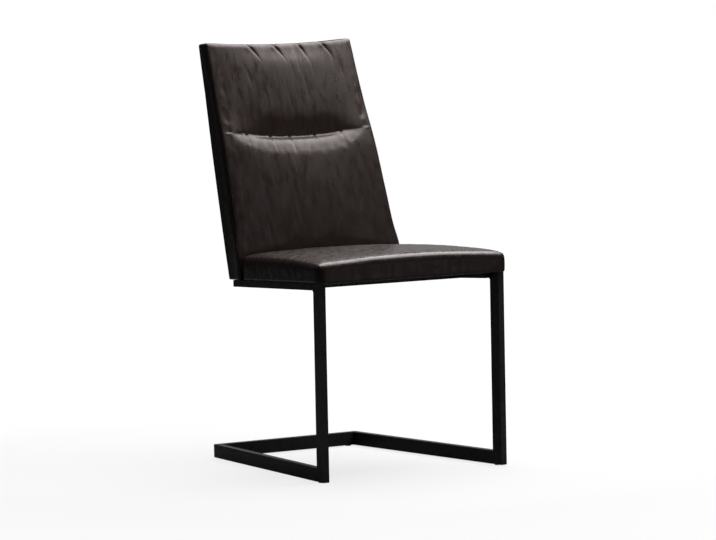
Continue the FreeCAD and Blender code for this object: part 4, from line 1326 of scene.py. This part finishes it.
    def front_point(self, across: np.ndarray, rise: np.ndarray) -> tuple[np.ndarray, np.ndarray]:
        """Depth and height of the front skin at a distance up the front plane."""
        lean = math.radians(self.front_lean)
        inward = self.front_depth(across, rise)
        depth = self.front_base + inward * math.cos(lean) + rise * math.sin(lean)
        height = self.level - inward * math.sin(lean) + rise * math.cos(lean)
        return depth, height

    def rear_point(self, rise: np.ndarray, length: float) -> tuple[np.ndarray, np.ndarray]:
        """Depth and height of the bulging rear skin at a distance up the rear plane of a given length."""
        lean = math.radians(self.rear_lean)
        out = self.rear_bulge - np.square(rise - length / 2) / (2 * self.rear_radius)
        depth = self.foot_rear + out * math.cos(lean) + rise * math.sin(lean)
        height = self.foot(self.foot_rear) - out * math.sin(lean) + rise * math.cos(lean)
        return depth, height

    def mapping(self, across: np.ndarray, along: np.ndarray, through: np.ndarray) -> np.ndarray:
        """Points of the back block.

        Args:
            across: Share of the half width, from -1 to 1.
            along: Station up the back: 0 foot, 1 seat, 2 seam and 3 top, with shares between them.
            through: Share of the depth, from 0 at the front to 1 at the rear.

        Returns:
            Points in metres.
        """
        cos_front = math.cos(math.radians(self.front_lean))
        cos_rear = math.cos(math.radians(self.rear_lean))
        rear_foot = self.foot(self.foot_rear)
        nominal = np.interp(along, [0, 1, 2, 3], [rear_foot, self.level, self.seam_level, self.top])
        middle = self.sizes.seat_rear + (nominal - self.level) * math.tan(math.radians(self.front_lean))
        width = across * self.half_width(np.maximum(middle, self.sizes.seat_rear), nominal)
        seat_edge = self.sizes.crown(width, np.full_like(width, self.sizes.seat_rear))
        low_rise = (seat_edge - 1.0 - self.level) / cos_front
        top_rise = (self.top_height(width) - self.level) / cos_front
        seam = self.seam_height(width)
        rise = np.where(along < 2, low_rise + (seam - low_rise) * np.clip(along - 1, 0, 1),
                        seam + (top_rise - seam) * np.clip(along - 2, 0, 1))
        front_d, front_z = self.front_point(width, rise)
        foot_share = np.clip(along, 0, 1)
        front_foot = self.foot(self.sizes.seat_rear)
        foot_z = front_foot + (seat_edge - 9.0 - front_foot) * foot_share
        below = along < 1
        front_d = np.where(below, self.sizes.seat_rear + 0.7, front_d)
        front_z = np.where(below, foot_z, front_z)
        length = (self.top - rear_foot) / cos_rear
        top_here = (self.top_height(width) - self.top_drop - rear_foot) / cos_rear
        marks = [0.0, (self.level - rear_foot) / cos_rear, (self.seam_level - rear_foot) / cos_rear]
        rear_rise = np.interp(along, [0, 1, 2], marks)
        top_rear = marks[2] + (top_here - marks[2]) * np.clip(along - 2, 0, 1)
        rear_rise = np.where(along > 2, top_rear, rear_rise)
        rear_d, rear_z = self.rear_point(rear_rise, length)
        depth = front_d + (rear_d - front_d) * through
        height = front_z + (rear_z - front_z) * through
        side = across * self.half_width(depth, height)
        return self.datum.place(side, depth, height)

    def base(self) -> bpy.types.Object:
        """The back's form before it swells."""
        half = 215.0
        support = self.edge_support
        across = framed(-half, half, support, self.step) / half
        foot_length, lower, upper = 56.0, self.seam_rise, 232.0
        foot_marks = [0.0, self.foot_support, foot_length - 12.0, foot_length]
        foot = stations(foot_marks, self.step) / foot_length * 0.999
        low = 1.0 + stations([0.0, lower - 26.0, lower - 14.0, lower - 6.0, lower], self.step) / lower
        high = 2.0 + stations([0.0, 6.0, 15.0, upper - self.top_support, upper], self.step) / upper
        along = np.concatenate([foot, low, high[1:]])
        through = np.array([0.0, 0.3, 0.6, 0.87, 1.0])
        piece = GridBlock(across, along, through).build("back_cushion", self.mapping)
        subdivided(piece, 1)
        return piece

    def front_frame(self, points: np.ndarray) -> tuple[np.ndarray, np.ndarray, np.ndarray]:
        """Across, inward and up the front plane, in millimetres, for points in metres."""
        across, depth, height = self.datum.back_to_drawing(points)
        lean = math.radians(self.front_lean)
        off_d, off_z = depth - self.front_base, height - self.level
        inward = off_d * math.cos(lean) - off_z * math.sin(lean)
        rise = off_d * math.sin(lean) + off_z * math.cos(lean)
        return across, inward, rise

    def side_seams(self) -> list[np.ndarray]:
        """Seams along the front and rear edges of the two side panels, over the top."""
        lines = []
        for side in Side:
            tall = (self.top - self.level) / math.cos(math.radians(self.front_lean))
            rise = np.linspace(8.0, tall - 3.0, 110)
            guess = side.value * (self.half_width(np.full_like(rise, 450.0), self.level + rise) - 2.1)
            depth, height = self.front_point(guess, rise)
            width = side.value * (self.half_width(depth, height) - self.side_inset)
            depth, height = self.front_point(width, rise)
            front = self.datum.place(width, depth + 2.0, height)
            length = (self.top - self.foot(self.foot_rear)) / math.cos(math.radians(self.rear_lean))
            back = np.linspace(6.0, length - 4.0, 110)
            depth, height = self.rear_point(back, length)
            width = side.value * (self.half_width(depth, height) - self.side_inset)
            rear = self.datum.place(width, depth - 2.0, height)
            lines += [front, rear]
        return lines

    def soften(self, piece: bpy.types.Object) -> None:
        """Adds seam valleys, tucks, pleats, upright creases and small waves to the leather.

        Args:
            piece: The swollen cushion.
        """
        points = mesh_points(piece.data)
        normals = mesh_normals(piece.data)
        across, inward, rise = self.front_frame(points)
        rows = np.stack([across, inward, rise], axis=1)
        lean = math.radians(self.front_lean)
        facing = np.clip(-normals[:, 1] * math.cos(lean) + normals[:, 2] * math.sin(lean), 0.0, 1.0)
        gap = rise - self.seam_height(across)
        top_rise = (self.top_height(across) - self.level) / math.cos(lean)
        below_top = top_rise - rise
        out = np.zeros(len(points))
        waves = noise_field(rows, (26.0, 60.0, 170.0), 4.4, 3)
        fine = noise_field(rows, (9.0, 30.0, 70.0), 1.9, 2)
        patches = smooth_step(noise_field(rows, (70.0, 70.0, 90.0), 9.3, 1), -0.2, 0.35)
        out += facing * (self.wave_depth * waves + self.fine_depth * fine * patches)
        draw = random.Random(41)
        for place in self.tucks:
            bend = draw.uniform(-0.12, 0.12)
            reach = draw.uniform(8.0, 15.0)
            line = across - place - bend * gap
            under = np.exp(np.minimum(gap, 0.0) / reach) * (gap < 2.0)
            out -= facing * self.tuck_depth * under * bell(line, self.tuck_width)
            out += facing * 0.4 * under * bell(np.abs(line) - 8.0, 6.0)
        top_face = np.clip(facing + normals[:, 2], 0, 1)
        for place in self.pleats:
            for bend, reach, deep in ((0.5, 24.0, 4.2), (-0.25, 12.0, 2.0)):
                line = across - place - bend * (below_top - 12.0) * draw.uniform(0.8, 1.2)
                near = np.exp(-np.square(np.maximum(below_top, 0.0) / reach))
                out -= top_face * deep * near * bell(line, self.pleat_width)
                out += facing * 0.5 * near * bell(np.abs(line) - 9.0, 7.0)
        for _ in range(self.creases):
            x0 = draw.uniform(-185.0, 185.0)
            z0 = draw.uniform(15.0, 470.0)
            half = draw.uniform(10.0, 34.0)
            lean_x = draw.uniform(-0.25, 0.25)
            line = across - x0 - lean_x * (rise - z0)
            body = bell(rise - z0, half)
            out -= facing * draw.uniform(0.15, 0.5) * body * bell(line, draw.uniform(3.2, 5.0))
        rear = np.clip(normals[:, 1], 0.0, 1.0)
        sides = np.abs(normals[:, 0])
        out += 0.4 * rear * noise_field(rows, (60.0, 60.0, 110.0), 6.6)
        out += 0.35 * sides * noise_field(rows, (30.0, 30.0, 60.0), 2.2)
        for line in self.side_seams():
            seam = Seam(line, depth=1.0, width=2.0)
            out -= seam.depth * bell(seam.gaps(points), seam.width)
        move_points(piece.data, points + normals * (out * MM)[:, None])

    def build(self) -> bpy.types.Object:
        """Makes the cushion and its stitches.

        Returns:
            The cushion.
        """
        piece = self.base()
        points = mesh_points(piece.data)
        across, inward, rise = self.front_frame(points)
        _, depth, height = self.datum.back_to_drawing(points)
        gap = rise - self.seam_height(across)
        front = inward < 20.0
        fade = 1.0 - smooth_step(np.abs(across), *self.crease_ends)
        sewn = np.where(gap < 0, bell(gap, self.seam_hold_below), bell(gap, self.seam_hold_above))
        held = np.where(front, fade * sewn, 0.0)
        held = np.maximum(held, 1.0 - smooth_step(height, *self.foot_hold))
        edge = np.abs(np.abs(across) - self.half_width(depth, height) + self.side_inset)
        held = np.maximum(held, 0.97 * bell(edge, self.edge_hold) * (np.abs(inward) < 22.0))
        held = np.maximum(held, smooth_step(inward, *self.rear_hold))
        Stuffing(limit=1.2).swell(piece, held)
        subdivided(piece, 2)
        self.soften(piece)
        self.finishes.dress(piece, Slot.LEATHER)
        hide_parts("back_lower_foam", "back_upper_foam", "back_rear_foam",
                    "back_cover_lower_front", "back_cover_upper_front", "back_cover_rear",
                    "back_cover_left_side", "back_cover_right_side")
        skin = Skin(piece)
        lines = []
        for line in self.side_seams():
            moved = line.copy()
            moved[:, 0] -= np.sign(moved[:, 0]) * self.stitch_inset * MM
            lines.append(moved)
        thread = Stitching().sew("back_stitches", skin, lines)
        self.finishes.dress(thread, Slot.LEATHER, self.finishes.thread)
        LOG.info("back cushion of %d faces", len(piece.data.polygons))
        return piece


@dataclass(frozen=True)
class Studio:
    """Pale floor, soft light and the photograph's camera."""

    datum: Datum
    azimuth: float = 32.313
    elevation: float = 4.504
    distance: float = 9090.4
    focal_pixels: float = 4070.9
    frame_pixels: float = 716.0
    roll: float = -1.15
    aim: tuple[float, float, float] = (17.64, 250.0, 432.03)
    sensor: float = 36.0
    mirror_share: float = 0.02

    def camera(self) -> None:
        """Sets the camera where the photograph was taken from."""
        az, el, roll = (math.radians(angle) for angle in (self.azimuth, self.elevation, self.roll))
        back = Vector((-math.sin(az) * math.cos(el), -math.cos(az) * math.cos(el), math.sin(el)))
        right = (-back).cross(Vector((0, 0, 1))).normalized()
        up = right.cross(-back).normalized()
        cos_roll, sin_roll = math.cos(roll), math.sin(roll)
        right, up = right * cos_roll + up * sin_roll, up * cos_roll - right * sin_roll
        aim = Vector(self.datum.place(*self.aim))
        place = aim + back * self.distance * MM
        lens = bpy.data.cameras.new("camera")
        lens.sensor_width = self.sensor
        lens.lens = self.focal_pixels / self.frame_pixels * self.sensor
        lens.clip_end = 200.0
        holder = bpy.data.objects.new("camera", lens)
        turn = Matrix((right, up, back)).transposed().to_4x4()
        holder.matrix_world = Matrix.Translation(place) @ turn
        bpy.context.scene.collection.objects.link(holder)
        bpy.context.scene.camera = holder

    @staticmethod
    def lamp(name: str, place: Sequence[float], aim: Sequence[float], size: Sequence[float],
             power: float) -> None:
        """Adds a soft box that the camera doesn't see.

        Args:
            name: Name of the lamp.
            place: Where it hangs, in metres.
            aim: Point that it faces.
            size: Its width and height.
            power: Its power in watts.
        """
        light = bpy.data.lights.new(name, "AREA")
        light.shape = "RECTANGLE"
        light.size, light.size_y = size
        light.energy = power
        holder = bpy.data.objects.new(name, light)
        holder.location = place
        holder.rotation_euler = (Vector(aim) - Vector(place)).to_track_quat("-Z", "Y").to_euler()
        holder.visible_camera = False
        bpy.context.scene.collection.objects.link(holder)

    def seen(self, board: NodeBoard) -> bpy.types.NodeSocket:
        """How much a ray sees of the plain white background: all for the camera, a little in a gloss."""
        rays = board.add("LightPath")
        direct = board.maths("MAXIMUM", rays.outputs["Is Camera Ray"], rays.outputs["Is Transmission Ray"])
        glossy = rays.outputs["Is Glossy Ray"]
        return board.maths("MULTIPLY_ADD", glossy, self.mirror_share, direct, clamp=True)

    def world(self) -> None:
        """A dim room that is brighter above and to the right, seen as plain white by the camera."""
        world = bpy.data.worlds.new("studio")
        bpy.context.scene.world = world
        world.use_nodes = True
        world.node_tree.nodes.clear()
        board = NodeBoard(world.node_tree)
        split = board.add("SeparateXYZ", {0: board.add("TexCoord").outputs["Generated"]})
        above = board.range(split.outputs[2], 0.05, 0.7, 0.0, 0.2)
        aside = board.range(split.outputs[0], -0.6, 0.5, 0.1, 1.0)
        strength = board.maths("MULTIPLY", above, aside)
        room = board.add("Background", {"Color": (0.96, 0.98, 1.0), "Strength": strength})
        plain = board.add("Background", {"Color": (1.0, 1.0, 1.0), "Strength": 1.0})
        mix = board.add("MixShader", {0: self.seen(board), 1: room.outputs[0], 2: plain.outputs[0]})
        output = board.add("OutputWorld")
        board.tree.links.new(mix.outputs[0], output.inputs[0])

    def floor(self) -> None:
        """A wide pale floor that stays white for the camera and keeps the chair's shadow."""
        reach = 40.0
        corners = [(-reach, -reach, 0.0), (reach, -reach, 0.0), (reach, reach, 0.0), (-reach, reach, 0.0)]
        piece = new_object("floor", corners, [(0, 1, 2, 3)])
        material = bpy.data.materials.new("pale_floor")
        material.use_nodes = True
        material.node_tree.nodes.clear()
        board = NodeBoard(material.node_tree)
        shader = board.add("BsdfDiffuse", {"Color": (0.12, 0.12, 0.12)})
        place = board.add("TexCoord").outputs["Object"]
        away = board.add("VectorMath", {0: place}, operation="LENGTH").outputs["Value"]
        glow = board.maths("MULTIPLY", self.seen(board), board.range(away, 0.9, 3.0, 0.78, 1.0))
        lift = board.add("Emission", {"Color": (1.0, 1.0, 1.0), "Strength": glow})
        both = board.add("AddShader", {0: shader.outputs[0], 1: lift.outputs[0]})
        output = board.add("OutputMaterial")
        board.tree.links.new(both.outputs[0], output.inputs[0])
        piece.data.materials.append(material)

    def build(self) -> None:
        """Sets camera, floor and lights."""
        self.camera()
        self.floor()
        self.world()
        self.lamp("overhead", (0.85, 0.25, 2.6), (0.35, 0.3, 0.4), (2.8, 2.8), 185.0)
        self.lamp("front right", (2.6, -2.6, 2.6), (0.0, 0.0, 0.7), (1.8, 1.4), 1.0)
        self.lamp("low front right", (1.9, -3.3, 0.4), (0.0, -0.3, 0.4), (1.6, 0.7), 2.1)
        self.lamp("rear right", (1.9, 3.4, 1.4), (0.0, 0.0, 0.5), (3.6, 1.6), 6.0)
        bpy.context.scene.view_settings.view_transform = "Standard"


def main() -> None:
    """Builds the chair piece by piece."""
    logging.basicConfig(level=logging.INFO, format="%(name)s: %(message)s")
    sizes = ChairSizes()
    datum = Datum.from_frame(sizes)
    Studio(datum).build()
    finishes = FinishBook()
    finishes.fill()
    SteelFrame(finishes).dress()
    SeatCushion(sizes, datum, finishes).build()
    BackCushion(sizes, datum, finishes).build()


if __name__ == "__main__":
    main()
